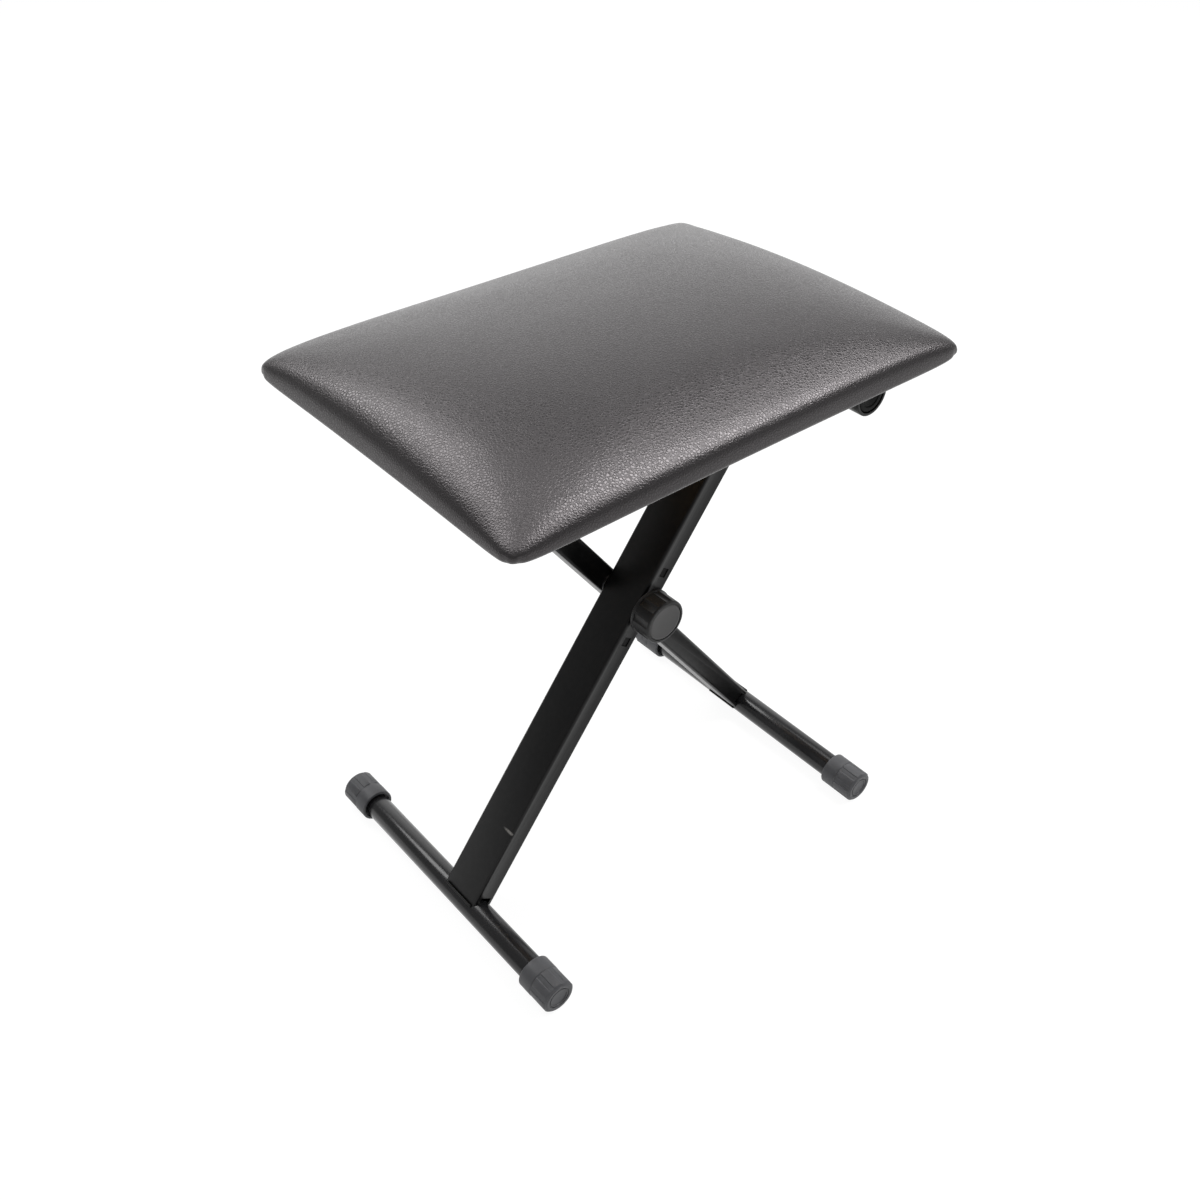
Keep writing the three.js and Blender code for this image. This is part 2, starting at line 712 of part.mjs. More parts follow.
/** The cover: a thin skin over the crown and round the rim, turned under the board by a flap. */
function seatCover() {
  const outer = [];
  const inner = [];
  const rimTop = coverBottom + rimHeight;
  for (const share of crownShares) {
    outer.push(cushionRing(share, rimBulge * share, rimTop));
    inner.push(cushionRing(share, rimBulge * share + coverThickness * share, rimTop - coverThickness));
  }
  const edge = (inset, height) => cushionRing(1, inset, coverBottom + height);
  for (const share of rimTurnShares) {
    const angle = 90 * share * degree;
    const turned = (radius) => edge(rimRound - radius * Math.cos(angle), rimRound - radius * Math.sin(angle));
    outer.push(turned(rimRound));
    inner.push(turned(rimRound - coverThickness));
  }
  outer.push(edge(coverFlap, 0));
  inner.push(edge(coverFlap, coverThickness));
  const top = new THREE.Vector3(0, 0, rimTop + crown(0, 0));
  const under = top.clone().setZ(top.z - coverThickness);
  return solidOf(skin([...outer, ...inner.reverse()], top, under));
}

/** The foam block: flat on the board and crowned under the cover. */
function seatFoam() {
  const bottom = boardTop + clearance;
  const skinDrop = coverThickness + clearance;
  const rimTop = coverBottom + rimHeight;
  const least = bottom + foamSideMinimum;
  const lifted = (ring) => ring.map((p) => p.setZ(Math.max(p.z, least)));
  const rings = crownShares.slice(0, -1).map(
    (share) => lifted(cushionRing(share, foamInset * share, rimTop - skinDrop)),
  );
  rings.push(cushionRing(1, foamInset, least));
  rings.push(cushionRing(1, foamInset, bottom));
  const top = new THREE.Vector3(0, 0, rimTop - skinDrop + crown(0, 0));
  return solidOf(skin(rings, top, new THREE.Vector3(0, 0, bottom)));
}

/** Where the screws stand under the seat: [x, y, kind]. */
function screwPlaces() {
  const ear = strapInner + strapThickness + strapEarLength / 2;
  const places = [];
  for (const side of [-1, 1]) {
    for (const end of [-1, 1]) places.push([crossBarReach + end * ear, side * strapCentre, 'strap']);
    places.push([-railLength / 2 + railScrewInset, side * railCentre, 'rail']);
    places.push([railScrewInner, side * railCentre, 'rail']);
  }
  return places;
}

/** The plywood board with its screw holes and the seats of the threaded inserts. */
function seatBoard() {
  const points = rimShares().map(([u, v]) => planPoint(u, v, boardInset));
  let board = solidOf(prism(outline(points), boardBottom, boardTop));
  for (const [x, y] of screwPlaces()) {
    const flangeLow = boardTop - nutFlangeThickness - clearance;
    const barrelLow = flangeLow - nutBarrelLength;
    const hole = latheZ([
      [0, boardBottom - overrun], [screwRadius + clearance, boardBottom - overrun],
      [screwRadius + clearance, barrelLow], [nutBarrelRadius + clearance, barrelLow],
      [nutBarrelRadius + clearance, flangeLow], [nutFlangeRadius + clearance, flangeLow],
      [nutFlangeRadius + clearance, boardTop + overrun], [0, boardTop + overrun],
    ]);
    board = board.subtract(solidOf(hole, shift(x, y, 0)));
  }
  return board;
}

/** A solid of revolution round the Z axis from [radius, height] pairs. */
function latheZ(profile) {
  return latheY(profile, screwSides).applyMatrix4(standing);
}

/** A threaded insert with its flange let into the board's top. */
function boardNut(x, y) {
  const under = boardTop - nutFlangeThickness;
  const bore = screwRadius + clearance;
  const low = under - nutBarrelLength;
  const profile = [
    [nutFlangeRadius, under], [nutFlangeRadius, boardTop], [bore, boardTop], [bore, low],
    [nutBarrelRadius, low], [nutBarrelRadius, under],
  ];
  return solidOf(latheZ([...profile, profile[0]]), shift(x, y, 0));
}

/** A steel rail under the board, with a stop for the glide bar and holes for its screws. */
function seatRail(side) {
  const low = railTop - railThickness;
  const y = side * railCentre;
  const [near, far] = [y - railWidth / 2, y + railWidth / 2];
  let rail = solidOf(box([-railLength / 2, near, low], [railLength / 2, far, railTop]));
  const raised = theta + (raiseTeeth * Math.PI) / lockTeeth;
  const nearest = crossBarReach - 2 * upperLegLength * Math.cos(raised) + crossBarRadius + clearance;
  const stop = box([nearest, near, low - railStopHeight], [nearest + railStopLength, far, railTop]);
  rail = rail.add(solidOf(stop));
  for (const [x, place, kind] of screwPlaces()) {
    if (Math.sign(place) !== side) continue;
    const sink = kind === 'rail' ? screwHeadRadius + clearance : screwRadius + clearance;
    const hole = latheZ([
      [0, low - overrun], [sink, low - overrun], [sink, low + clearance],
      [screwRadius + clearance, low + screwHeadHeight + clearance],
      [screwRadius + clearance, railTop + overrun], [0, railTop + overrun],
    ]);
    rail = rail.subtract(solidOf(hole, shift(x, place, 0)));
  }
  return rail;
}

/** A half-round strap that hangs the hinge bar under a rail. */
function hingeStrap(side) {
  const inner = strapInner;
  const outer = inner + strapThickness;
  const earTop = railTop - railThickness - clearance - crossBarHeight;
  const earLow = earTop - strapThickness;
  const reach = outer + strapEarLength;
  const shape = new THREE.Shape();
  shape.moveTo(-reach, earLow);
  shape.lineTo(-outer, earLow);
  shape.lineTo(-outer, 0);
  shape.absarc(0, 0, outer, Math.PI, 2 * Math.PI, false);
  shape.lineTo(outer, earLow);
  shape.lineTo(reach, earLow);
  shape.lineTo(reach, earTop);
  shape.lineTo(inner, earTop);
  shape.lineTo(inner, 0);
  shape.absarc(0, 0, inner, 0, -Math.PI, true);
  shape.lineTo(-inner, earTop);
  shape.lineTo(-reach, earTop);
  shape.closePath();
  const facing = new THREE.Matrix4().makeBasis(unitX, unitZ, unitY.clone().negate());
  const y = side * strapCentre;
  const bent = prism(shape, -strapWidth / 2, strapWidth / 2, strapSteps);
  let strap = solidOf(bent, facing, shift(crossBarReach, y, crossBarHeight));
  for (const [x, place, kind] of screwPlaces()) {
    if (kind !== 'strap' || Math.sign(place) !== side) continue;
    const hole = latheZ([
      [0, -overrun], [screwRadius + clearance, -overrun],
      [screwRadius + clearance, strapThickness + overrun], [0, strapThickness + overrun],
    ]);
    strap = strap.subtract(solidOf(hole, shift(x, place, crossBarHeight + earLow)));
  }
  return strap;
}

/** A socket-headed screw that stands on its head: pan head under a strap, flush head in a rail. */
function seatScrew(x, y, kind) {
  const railLow = railTop - railThickness;
  const tip = boardTop - screwTipDrop;
  const under = railLow - clearance - strapThickness - clearance;
  const crest = under - screwHeadHeight;
  const head = kind === 'strap'
    ? [[screwSocketRadius, crest], [screwHeadRadius - screwSocketDepth, crest],
      [screwHeadRadius, under - screwSocketDepth / 2], [screwHeadRadius, under], [screwRadius, under]]
    : [[screwSocketRadius, railLow + clearance], [screwHeadRadius, railLow + clearance],
      [screwRadius, railLow + clearance + screwHeadHeight]];
  const face = head[0][1];
  const profile = [
    [0, face + screwSocketDepth], [screwSocketRadius, face + screwSocketDepth], ...head,
    [screwRadius, tip], [0, tip],
  ];
  return solidOf(latheZ(profile), shift(x, y, 0));
}

/** A leg with its foot: the tube, the foot bar, two caps, the cross bar and two plugs. */
function legGroup(label, tube, tilt, crossSpan) {
  const leg = new THREE.Group();
  const frame = new THREE.Group();
  frame.position.set(0, 0, pivotHeight);
  frame.rotation.y = tilt;
  frame.add(piece(`${label}_leg_tube`, tube, 'blackPaint'));
  leg.add(frame);
  const towards = Math.cos(tilt) > 0 ? 1 : -1;
  const foot = new THREE.Group();
  foot.position.set(-towards * footReach, 0, footBarHeight);
  const barLength = footSpan - 2 * (capEndWall + clearance);
  foot.add(piece(`${label}_foot_bar`, roundBar(footBarRadius, footBarWall, barLength), 'glossPaint'));
  const cross = new THREE.Group();
  cross.position.set(towards * crossBarReach, 0, crossBarHeight);
  const crossLength = crossSpan - 2 * (plugFlange + clearance);
  cross.add(piece(`${label}_cross_bar`, roundBar(crossBarRadius, crossBarWall, crossLength), 'blackPaint'));
  for (const [end, turn] of [['front', new THREE.Matrix4()], ['rear', halfTurn]]) {
    foot.add(piece(`${label}_foot_cap_${end}`, geometryOf(footCap()).applyMatrix4(turn), 'rubber'));
    const plug = geometryOf(barPlug(-crossSpan / 2)).applyMatrix4(turn);
    cross.add(piece(`${label}_bar_plug_${end}`, plug, 'plastic'));
  }
  leg.add(foot, cross);
  return { leg, frame };
}

const bench = new THREE.Group();

// Front leg, with the guide block, bush and spring that belong to it
const front = legGroup('front', frontLegTube(), -theta, hingeBarSpan);
front.frame.add(piece('lock_guide_block', guideBlock(), 'steel'));
front.frame.add(piece('knob_bush', knobBush(), 'steel'));
front.frame.add(piece('return_spring', returnSpring(), 'steel'));
bench.add(front.leg);

// Rear leg, with the pivot parts that are welded or pressed into it
const rear = legGroup('rear', rearLegTube(), theta - Math.PI, glideBarSpan);
rear.frame.add(piece('pivot_tube', pivotTube(), 'steel'));
rear.frame.add(piece('pivot_washer', pivotWasher(), 'plastic'));
rear.frame.add(piece('pivot_plug', pivotPlug(), 'plastic'));
rear.frame.add(piece('lock_ring', lockRing(), 'steel'));
bench.add(rear.leg);

// Lock knob: everything that slides when the knob is pulled
const lock = new THREE.Group();
lock.position.set(0, 0, pivotHeight);
lock.rotation.y = -theta;
lock.add(piece('lock_knob', knobShell(), 'plastic'));
lock.add(piece('knob_disc', knobDisc(), 'plastic'));
lock.add(piece('knob_insert', knobInsert(), 'steel'));
lock.add(piece('lock_plunger', plunger(), 'steel'));
lock.add(piece('lock_gear', lockGear(), 'steel'));
lock.add(piece('gear_pin', gearPin(), 'steel'));
bench.add(lock);

// Seat: board, foam and cover, with the rails, straps and fasteners below
const seat = new THREE.Group();
seat.add(piece('seat_board', seatBoard(), 'plywood'));
seat.add(piece('seat_foam', seatFoam(), 'foam'));
seat.add(piece('seat_cover', seatCover(), 'vinyl'));
for (const [end, side] of [['front', -1], ['rear', 1]]) {
  seat.add(piece(`seat_rail_${end}`, seatRail(side), 'blackPaint'));
  seat.add(piece(`hinge_strap_${end}`, hingeStrap(side), 'blackPaint'));
}
screwPlaces().forEach(([x, y, kind], i) => {
  seat.add(piece(`${kind}_screw_${i + 1}`, seatScrew(x, y, kind), 'steel'));
  seat.add(piece(`board_nut_${i + 1}`, boardNut(x, y), 'steel'));
});
bench.add(seat);

export default bench;
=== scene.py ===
"""Folding keyboard bench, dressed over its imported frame.

Every length is in metres and every place is in the frame's own axes: +Z is up, X runs along the
seat's long side and the knob side of the bench faces -Y. Sizes that the frame already holds are
read from its nodes; the others are fields of the sub-assembly that they belong to.
"""

import json
import logging
import math
from contextlib import contextmanager
from dataclasses import dataclass, field
from enum import Enum
from typing import Callable, Iterator, Mapping, Sequence

import bmesh
import bpy
from mathutils import Matrix, Vector


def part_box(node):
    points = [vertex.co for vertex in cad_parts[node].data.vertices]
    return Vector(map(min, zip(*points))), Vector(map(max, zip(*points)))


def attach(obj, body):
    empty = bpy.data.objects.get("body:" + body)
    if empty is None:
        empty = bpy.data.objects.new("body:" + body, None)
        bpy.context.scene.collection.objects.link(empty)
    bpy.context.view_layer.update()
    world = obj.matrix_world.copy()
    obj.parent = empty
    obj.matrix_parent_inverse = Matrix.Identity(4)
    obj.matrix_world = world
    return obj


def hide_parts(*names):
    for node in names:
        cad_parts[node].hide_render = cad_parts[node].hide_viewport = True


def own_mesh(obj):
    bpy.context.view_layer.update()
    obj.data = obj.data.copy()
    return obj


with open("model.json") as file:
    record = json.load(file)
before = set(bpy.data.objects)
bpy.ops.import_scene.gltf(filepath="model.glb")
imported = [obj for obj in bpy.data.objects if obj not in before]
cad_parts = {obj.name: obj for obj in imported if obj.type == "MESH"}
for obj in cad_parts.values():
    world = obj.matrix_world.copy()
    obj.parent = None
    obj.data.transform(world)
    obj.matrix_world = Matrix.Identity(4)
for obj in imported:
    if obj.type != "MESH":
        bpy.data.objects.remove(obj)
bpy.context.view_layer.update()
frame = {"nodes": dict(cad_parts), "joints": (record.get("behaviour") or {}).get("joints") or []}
LOG = logging.getLogger("bench")

Piece = bpy.types.Object
Pair = tuple[float, float]
Point = tuple[float, float, float]
Tone = tuple[float, float, float]

# The bench's crosswise direction
ACROSS = Vector((0, 1, 0))
# How near to each other doubled points lie
DOUBLED = 1e-6
# The least share of a face's normal along an axis that the face looks along
FACING = 0.9


class Body(Enum):
    """The bodies of the frame that pieces ride on."""

    FRONT_LEG = "front_leg"
    REAR_LEG = "rear_leg"
    KNOB = "lock_knob"
    SEAT = "seat"


class End(Enum):
    """Which end of a crosswise bar a piece sits on."""

    FRONT = -1
    REAR = 1

    @property
    def word(self) -> str:
        """The end's word in node names."""
        return self.name.lower()


# Places read from the frame


@dataclass(frozen=True)
class NodeBox:
    """Lowest and highest corner of a node of the frame."""

    low: Vector
    high: Vector

    @classmethod
    def of(cls, node: str) -> "NodeBox":
        """Read a node's box from the frame."""
        low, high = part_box(node)
        return cls(Vector(low), Vector(high))

    @property
    def centre(self) -> Vector:
        """The middle of the box."""
        return (self.low + self.high) / 2

    @property
    def size(self) -> Vector:
        """The box's extents."""
        return self.high - self.low


def joint_place(name: str) -> Vector:
    """Read a point on a hinge's axis from the frame."""
    return next(Vector(joint["pos_m"]) for joint in frame["joints"] if joint["name"] == name)


def in_plane(point: Vector) -> Vector:
    """A point moved onto the bench's middle plane."""
    return Vector((point.x, 0, point.z))


def leg_turn(label: str) -> Matrix:
    """Work out how a leg leans.

    Args:
        label: Which leg, front or rear.

    Returns:
        The rotation from the leg's own axes, with X up the leg, to the frame's.
    """
    foot, cross = (in_plane(NodeBox.of(f"{label}_{bar}_bar").centre) for bar in ("foot", "cross"))
    up = (cross - foot).normalized()
    return Matrix((up, ACROSS, up.cross(ACROSS))).transposed()


# Modelling


@contextmanager
def alone(piece: Piece) -> Iterator[None]:
    """Keep one piece selected and active while something is done to it.

    Args:
        piece: The piece to work on.
    """
    bpy.ops.object.select_all(action="DESELECT")
    piece.select_set(True)
    bpy.context.view_layer.objects.active = piece
    yield
    piece.select_set(False)


@contextmanager
def editing(piece: Piece, select: str = "DESELECT") -> Iterator[None]:
    """Open one piece in edit mode, and close it afterwards.

    Args:
        piece: The piece to edit.
        select: SELECT starts with the whole mesh selected, DESELECT with nothing.
    """
    with alone(piece):
        bpy.ops.object.mode_set(mode="EDIT")
        bpy.ops.mesh.select_mode(type="EDGE")
        bpy.ops.mesh.select_all(action=select)
        yield
        bpy.ops.object.mode_set(mode="OBJECT")


def settle(piece: Piece) -> None:
    """Apply a piece's place, turn and scale to its mesh."""
    with alone(piece):
        bpy.ops.object.transform_apply(location=True, rotation=True, scale=True)


def named(name: str) -> Piece:
    """Name the object that the last primitive made, and settle its place into its mesh.

    Args:
        name: Its name.

    Returns:
        The object.
    """
    piece = bpy.context.active_object
    piece.name = name
    piece.data.name = name
    settle(piece)
    return piece


def discard(*pieces: Piece) -> None:
    """Throw pieces away with their meshes."""
    for piece in pieces:
        mesh = piece.data
        bpy.data.objects.remove(piece)
        bpy.data.meshes.remove(mesh)


def pick(piece: Piece, kind: str, test: Callable[[Vector, Vector], bool]) -> None:
    """Select what a test accepts, in edit mode.

    Args:
        piece: The piece in edit mode.
        kind: FACE or EDGE.
        test: Takes a face's middle and its normal, or an edge's two ends.
    """
    bpy.ops.mesh.select_mode(type=kind)
    bpy.ops.mesh.select_all(action="DESELECT")
    net = bmesh.from_edit_mesh(piece.data)
    if kind == "FACE":
        chosen = [face for face in net.faces if test(face.calc_center_median(), face.normal)]
    else:
        chosen = [edge for edge in net.edges if test(edge.verts[0].co, edge.verts[1].co)]
    for part in chosen:
        part.select_set(True)
    bmesh.update_edit_mesh(piece.data)


def apply_modifier(piece: Piece, kind: str, **settings: object) -> None:
    """Add a modifier with its settings and apply it at once.

    Args:
        piece: The piece to change.
        kind: The modifier's type.
        **settings: Values for the modifier's properties.
    """
    modifier = piece.modifiers.new(kind.lower(), kind)
    for key, value in settings.items():
        setattr(modifier, key, value)
    with alone(piece):
        bpy.ops.object.modifier_apply(modifier=modifier.name)


def combine(piece: Piece, operation: str, *tools: Piece) -> None:
    """Cut closed tools out of a piece or join them to it, and throw the tools away.

    Args:
        piece: The piece to change.
        operation: DIFFERENCE cuts and UNION joins.
        *tools: The tools.
    """
    for tool in tools:
        apply_modifier(piece, "BOOLEAN", object=tool, operation=operation, solver="EXACT")
    discard(*tools)


def smooth(piece: Piece, sharp: float = 30.0) -> None:
    """Shade a piece smooth except where it turns by more than some degrees."""
    with alone(piece):
        bpy.ops.object.shade_smooth_by_angle(angle=math.radians(sharp))


def soften(piece: Piece, width: float, segments: int = 2, sharp: float = 30.0) -> None:
    """Round a piece's sharp edges and shade it smooth.

    Args:
        piece: The finished shape.
        width: How far the rounding reaches from each edge.
        segments: Steps across the rounding.
        sharp: Edges that turn by more than this many degrees are rounded.
    """
    apply_modifier(piece, "BEVEL", width=width, segments=segments, limit_method="ANGLE",
                   angle_limit=math.radians(sharp))
    smooth(piece, sharp)


def tidy_normals(piece: Piece) -> None:
    """Merge doubled points and point every face outwards."""
    with editing(piece, "SELECT"):
        bpy.ops.mesh.remove_doubles(threshold=DOUBLED)
        bpy.ops.mesh.normals_make_consistent(inside=False)


def turned(name: str, profile: Sequence[Pair], sides: int = 64, closed: bool = False) -> Piece:
    """Turn a solid round the Y axis by extruding and scaling a circle along a profile.

    Args:
        name: The piece's name.
        profile: Pairs of place along Y and radius.
        sides: Steps round the axis.
        closed: Whether the profile closes on itself. Otherwise both its ends are flat faces.

    Returns:
        The closed solid.
    """
    place, radius = profile[0]
    bpy.ops.mesh.primitive_circle_add(vertices=sides, radius=radius,
                                      fill_type="NOTHING" if closed else "NGON",
                                      location=(0, place, 0), rotation=(math.pi / 2, 0, 0))
    piece = named(name)
    last = profile[:1] if closed else []
    with editing(piece, "SELECT"):
        for next_place, next_radius in [*profile[1:], *last]:
            bpy.ops.mesh.extrude_region_move(
                TRANSFORM_OT_translate={"value": (0, next_place - place, 0)})
            share = next_radius / radius
            bpy.ops.transform.resize(value=(share, 1, share), center_override=(0, next_place, 0))
            place, radius = next_place, next_radius
    tidy_normals(piece)
    return piece


def block(name: str, low: Sequence[float], high: Sequence[float]) -> Piece:
    """Make a box from its lowest and highest corners, to be shaped further.

    Args:
        name: The box's name.
        low: Its lowest corner.
        high: Its highest corner.

    Returns:
        The box.
    """
    low_corner, high_corner = Vector(low), Vector(high)
    bpy.ops.mesh.primitive_cube_add(size=1, location=(low_corner + high_corner) / 2)
    bpy.context.active_object.scale = high_corner - low_corner
    return named(name)


def drum(name: str, radius: float, centre: Sequence[float], depth: float, sides: int = 48,
         axis: Vector = ACROSS) -> Piece:
    """Make a round cutting tool along an axis.

    Args:
        name: The tool's name.
        radius: Its radius.
        centre: Its middle.
        depth: How long it is.
        sides: Steps round the axis.
        axis: Where it points.

    Returns:
        The tool.
    """
    turn = Vector((0, 0, 1)).rotation_difference(axis).to_euler()
    bpy.ops.mesh.primitive_cylinder_add(vertices=sides, radius=radius, depth=depth,
                                        location=centre, rotation=turn)
    return named(name)


def moved(piece: Piece, place: Vector, turn: Matrix | None = None) -> Piece:
    """Turn a piece about the origin, move it, and keep both in its mesh.

    Args:
        piece: The piece.
        place: How far it moves.
        turn: How it turns, or None.

    Returns:
        The same piece.
    """
    piece.matrix_world = Matrix.Translation(place) @ (turn.to_4x4() if turn else Matrix())
    settle(piece)
    return piece


def copied(piece: Piece, name: str, place: Vector, turn: Matrix | None = None) -> Piece:
    """Copy a piece with a mesh of its own, turned about the origin and moved.

    Args:
        piece: The piece to copy.
        name: The copy's name.
        place: How far the copy moves.
        turn: How the copy turns, or None.

    Returns:
        The copy.
    """
    with alone(piece):
        bpy.ops.object.duplicate(linked=False)
    return moved(named(name), place, turn)


def joined(name: str, pieces: Sequence[Piece]) -> Piece:
    """Join pieces into one and name it.

    Args:
        name: Its name.
        pieces: The pieces.

    Returns:
        The joined piece.
    """
    with alone(pieces[0]):
        for piece in pieces:
            piece.select_set(True)
        bpy.ops.object.join()
    return named(name)


def bead(name: str, start: Vector, length: float, radius: float) -> Piece:
    """Lay a weld bead along Y, thin at its ends and rippled as the torch left it.

    Args:
        name: The piece's name.
        start: Where the bead starts.
        length: How far it runs.
        radius: Its half thickness between the ripples.

    Returns:
        The closed bead.
    """
    ripples, steps, ripple, sides = 16, 3, 0.14, 10
    total = ripples * steps
    swells = [1 - ripple * math.cos(math.tau * step / steps) for step in range(total + 1)]
    swells[0] = swells[-1] = 0.5
    profile = [(length * step / total, radius * swell) for step, swell in enumerate(swells)]
    piece = moved(turned(name, profile, sides), start)
    smooth(piece, 60.0)
    return piece


def dress(piece: Piece, finish: "Finish", body: Body, *nodes: str) -> None:
    """Give a piece its finish and its body, and let it stand for nodes of the frame.

    Args:
        piece: The finished piece.
        finish: What it is made of.
        body: The body that it rides on.
        *nodes: The nodes that it replaces.
    """
    piece.data.materials.clear()
    piece.data.materials.append(finish.material())
    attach(piece, body.value)
    if nodes:
        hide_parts(*nodes)
    LOG.info("%s: %d faces on %s", piece.name, len(piece.data.polygons), body.value)


def at_both_ends(model: Piece, finish: "Finish", body: Body, label: str, bar: str, fitting: str) -> None:
    """Set a fitting on both ends of a leg's bar, dress it and throw the model away.

    Args:
        model: The fitting on the origin's axis, with its end towards -Y.
        finish: What it is made of.
        body: The leg's body.
        label: Which leg, front or rear.
        bar: Which bar, foot or cross.
        fitting: The fitting's full word in node names, such as foot_cap.
    """
    place = in_plane(NodeBox.of(f"{label}_{bar}_bar").centre)
    kind = fitting.split("_")[1]
    turns = {End.FRONT: None, End.REAR: Matrix.Rotation(math.pi, 3, "Z")}
    for end, turn in turns.items():
        piece = copied(model, f"{label}_{kind}_{end.word}", place, turn)
        dress(piece, finish, body, f"{label}_{fitting}_{end.word}")
    discard(model)


# Node trees


Socket = bpy.types.NodeSocket
Inputs = dict[str | int, object]
Sockets = Mapping[str, Socket]


def opaque(tone: Tone) -> tuple[float, float, float, float]:
    """A tone with full alpha."""
    return (*tone, 1.0)


class NodeSheet:
    """A node tree written from left to right."""

    column = 220

    def __init__(self, tree: bpy.types.NodeTree) -> None:
        """Start on an emptied tree."""
        self.tree = tree
        tree.nodes.clear()

    def add(self, kind: str, inputs: Inputs | None = None, **settings: object) -> bpy.types.Node:
        """Add a node to the right of the last one.

        Args:
            kind: The node's type.
            inputs: Sockets by name or number, each a value or a socket to link from.
            **settings: Values for the node's own properties.

        Returns:
            The new node.
        """
        node = self.tree.nodes.new(kind)
        node.location = (self.column * len(self.tree.nodes), 0)
        for key, value in settings.items():
            setattr(node, key, value)
        for key, value in (inputs or {}).items():
            if isinstance(value, Socket):
                self.tree.links.new(value, node.inputs[key])
            else:
                node.inputs[key].default_value = value
        return node

    def place(self) -> Socket:
        """Where a point lies in its piece's own axes."""
        return self.add("ShaderNodeTexCoord").outputs["Object"]

    def noise(self, scale: object, detail: float, **inputs: object) -> Socket:
        """Noise over the surface, from 0 to 1."""
        values = {"Vector": self.place(), "Scale": scale, "Detail": detail, **inputs}
        return self.add("ShaderNodeTexNoise", values).outputs["Fac"]

    def spread(self, value: Socket, low: float, high: float, **settings: object) -> Socket:
        """Spread a value's range from low to high over 0 to 1."""
        values = {"Value": value, "From Min": low, "From Max": high}
        return self.add("ShaderNodeMapRange", values, **settings).outputs["Result"]

    def sums(self, operation: str, first: object, second: object, clamp: bool = False) -> Socket:
        """Combine two values with a Math node and return the result."""
        values = {0: first, 1: second}
        return self.add("ShaderNodeMath", values, operation=operation, use_clamp=clamp).outputs[0]

    def vectors(self, operation: str, first: object, second: object) -> Socket:
        """Combine two vectors and return the vector that results."""
        return self.add("ShaderNodeVectorMath", {0: first, 1: second}, operation=operation).outputs[0]

    def blend(self, share: object, first: object, second: object) -> Socket:
        """Mix two colours by a share and return the result."""
        values = {0: share, 6: first, 7: second}
        return self.add("ShaderNodeMix", values, data_type="RGBA").outputs[2]

    def group(self, tree: bpy.types.NodeTree, inputs: Inputs) -> Sockets:
        """Place a shared group and return its outputs."""
        return self.add("ShaderNodeGroup", inputs, node_tree=tree).outputs

    def bump(self, height: Socket, depth: float, strength: float) -> Socket:
        """Turn a height into a normal."""
        values = {"Height": height, "Distance": depth, "Strength": strength}
        return self.add("ShaderNodeBump", values).outputs["Normal"]


def shared_group(name: str, defaults: dict[str, object],
                 write: Callable[[NodeSheet, Sockets], Sockets]) -> bpy.types.NodeTree:
    """Build a shader node group once and hand it out afterwards.

    Args:
        name: The group's name.
        defaults: The inputs' names, each with a number or a colour.
        write: Takes the group's sheet and inputs, and returns its outputs.

    Returns:
        The node group.
    """
    if name in bpy.data.node_groups:
        return bpy.data.node_groups[name]
    group = bpy.data.node_groups.new(name, "ShaderNodeTree")
    sheet = NodeSheet(group)
    for label, default in defaults.items():
        kind = "NodeSocketFloat" if isinstance(default, float) else "NodeSocketColor"
        socket = group.interface.new_socket(label, in_out="INPUT", socket_type=kind)
        socket.default_value = default
    results = write(sheet, sheet.add("NodeGroupInput").outputs)
    for label, result in results.items():
        kind = "NodeSocketColor" if result.type == "RGBA" else "NodeSocketFloat"
        group.interface.new_socket(label, in_out="OUTPUT", socket_type=kind)
    sheet.add("NodeGroupOutput", results)
    return group


def fine_relief() -> bpy.types.NodeTree:
    """The small unevenness of a surface.

    Returns:
        A group that puts out a height, and a roughness that drifts.
    """
    def write(sheet: NodeSheet, given: Sockets) -> Sockets:
        """Fine noise for the height and a broad one for the gloss."""
        broad = sheet.noise(sheet.sums("MULTIPLY", given["Scale"], 0.07), 2.0)
        drift = sheet.sums("MULTIPLY", sheet.sums("SUBTRACT", broad, 0.5), given["Gloss Drift"])
        return {"Height": sheet.noise(given["Scale"], 3.0, Roughness=0.6),
                "Roughness": sheet.sums("ADD", given["Roughness"], drift, clamp=True)}

    return shared_group("fine_relief", {"Scale": 900.0, "Roughness": 0.4, "Gloss Drift": 0.1}, write)


def tone_drift() -> bpy.types.NodeTree:
    """Slow changes of tone over a surface.

    Returns:
        A group that puts out the drifting colour.
    """
    def write(sheet: NodeSheet, given: Sockets) -> Sockets:
        """Two tones blended by a broad noise."""
        cloud = sheet.noise(given["Scale"], 4.0, Roughness=0.55)
        share = sheet.spread(cloud, 0.35, 0.65)
        return {"Colour": sheet.blend(share, given["Tone"], given["Second Tone"])}

    return shared_group("tone_drift", {"Tone": (0.02, 0.02, 0.02, 1.0),
                                       "Second Tone": (0.03, 0.03, 0.03, 1.0), "Scale": 30.0}, write)


def edge_rub() -> bpy.types.NodeTree:
    """Where hands and floors have rubbed the edges.

    Returns:
        A group that puts out a mask, 1 where the finish is rubbed.
    """
    def write(sheet: NodeSheet, given: Sockets) -> Sockets:
        """Edges found by how the surface turns, broken up by noise."""
        turn = sheet.add("ShaderNodeNewGeometry").outputs["Pointiness"]
        breaks = sheet.spread(sheet.noise(given["Scale"], 5.0), 0.45, 0.6)
        mask = sheet.sums("MULTIPLY", sheet.spread(turn, 0.51, 0.6), breaks)
        return {"Mask": sheet.sums("MULTIPLY", mask, given["Amount"], clamp=True)}

    return shared_group("edge_rub", {"Scale": 160.0, "Amount": 0.5}, write)


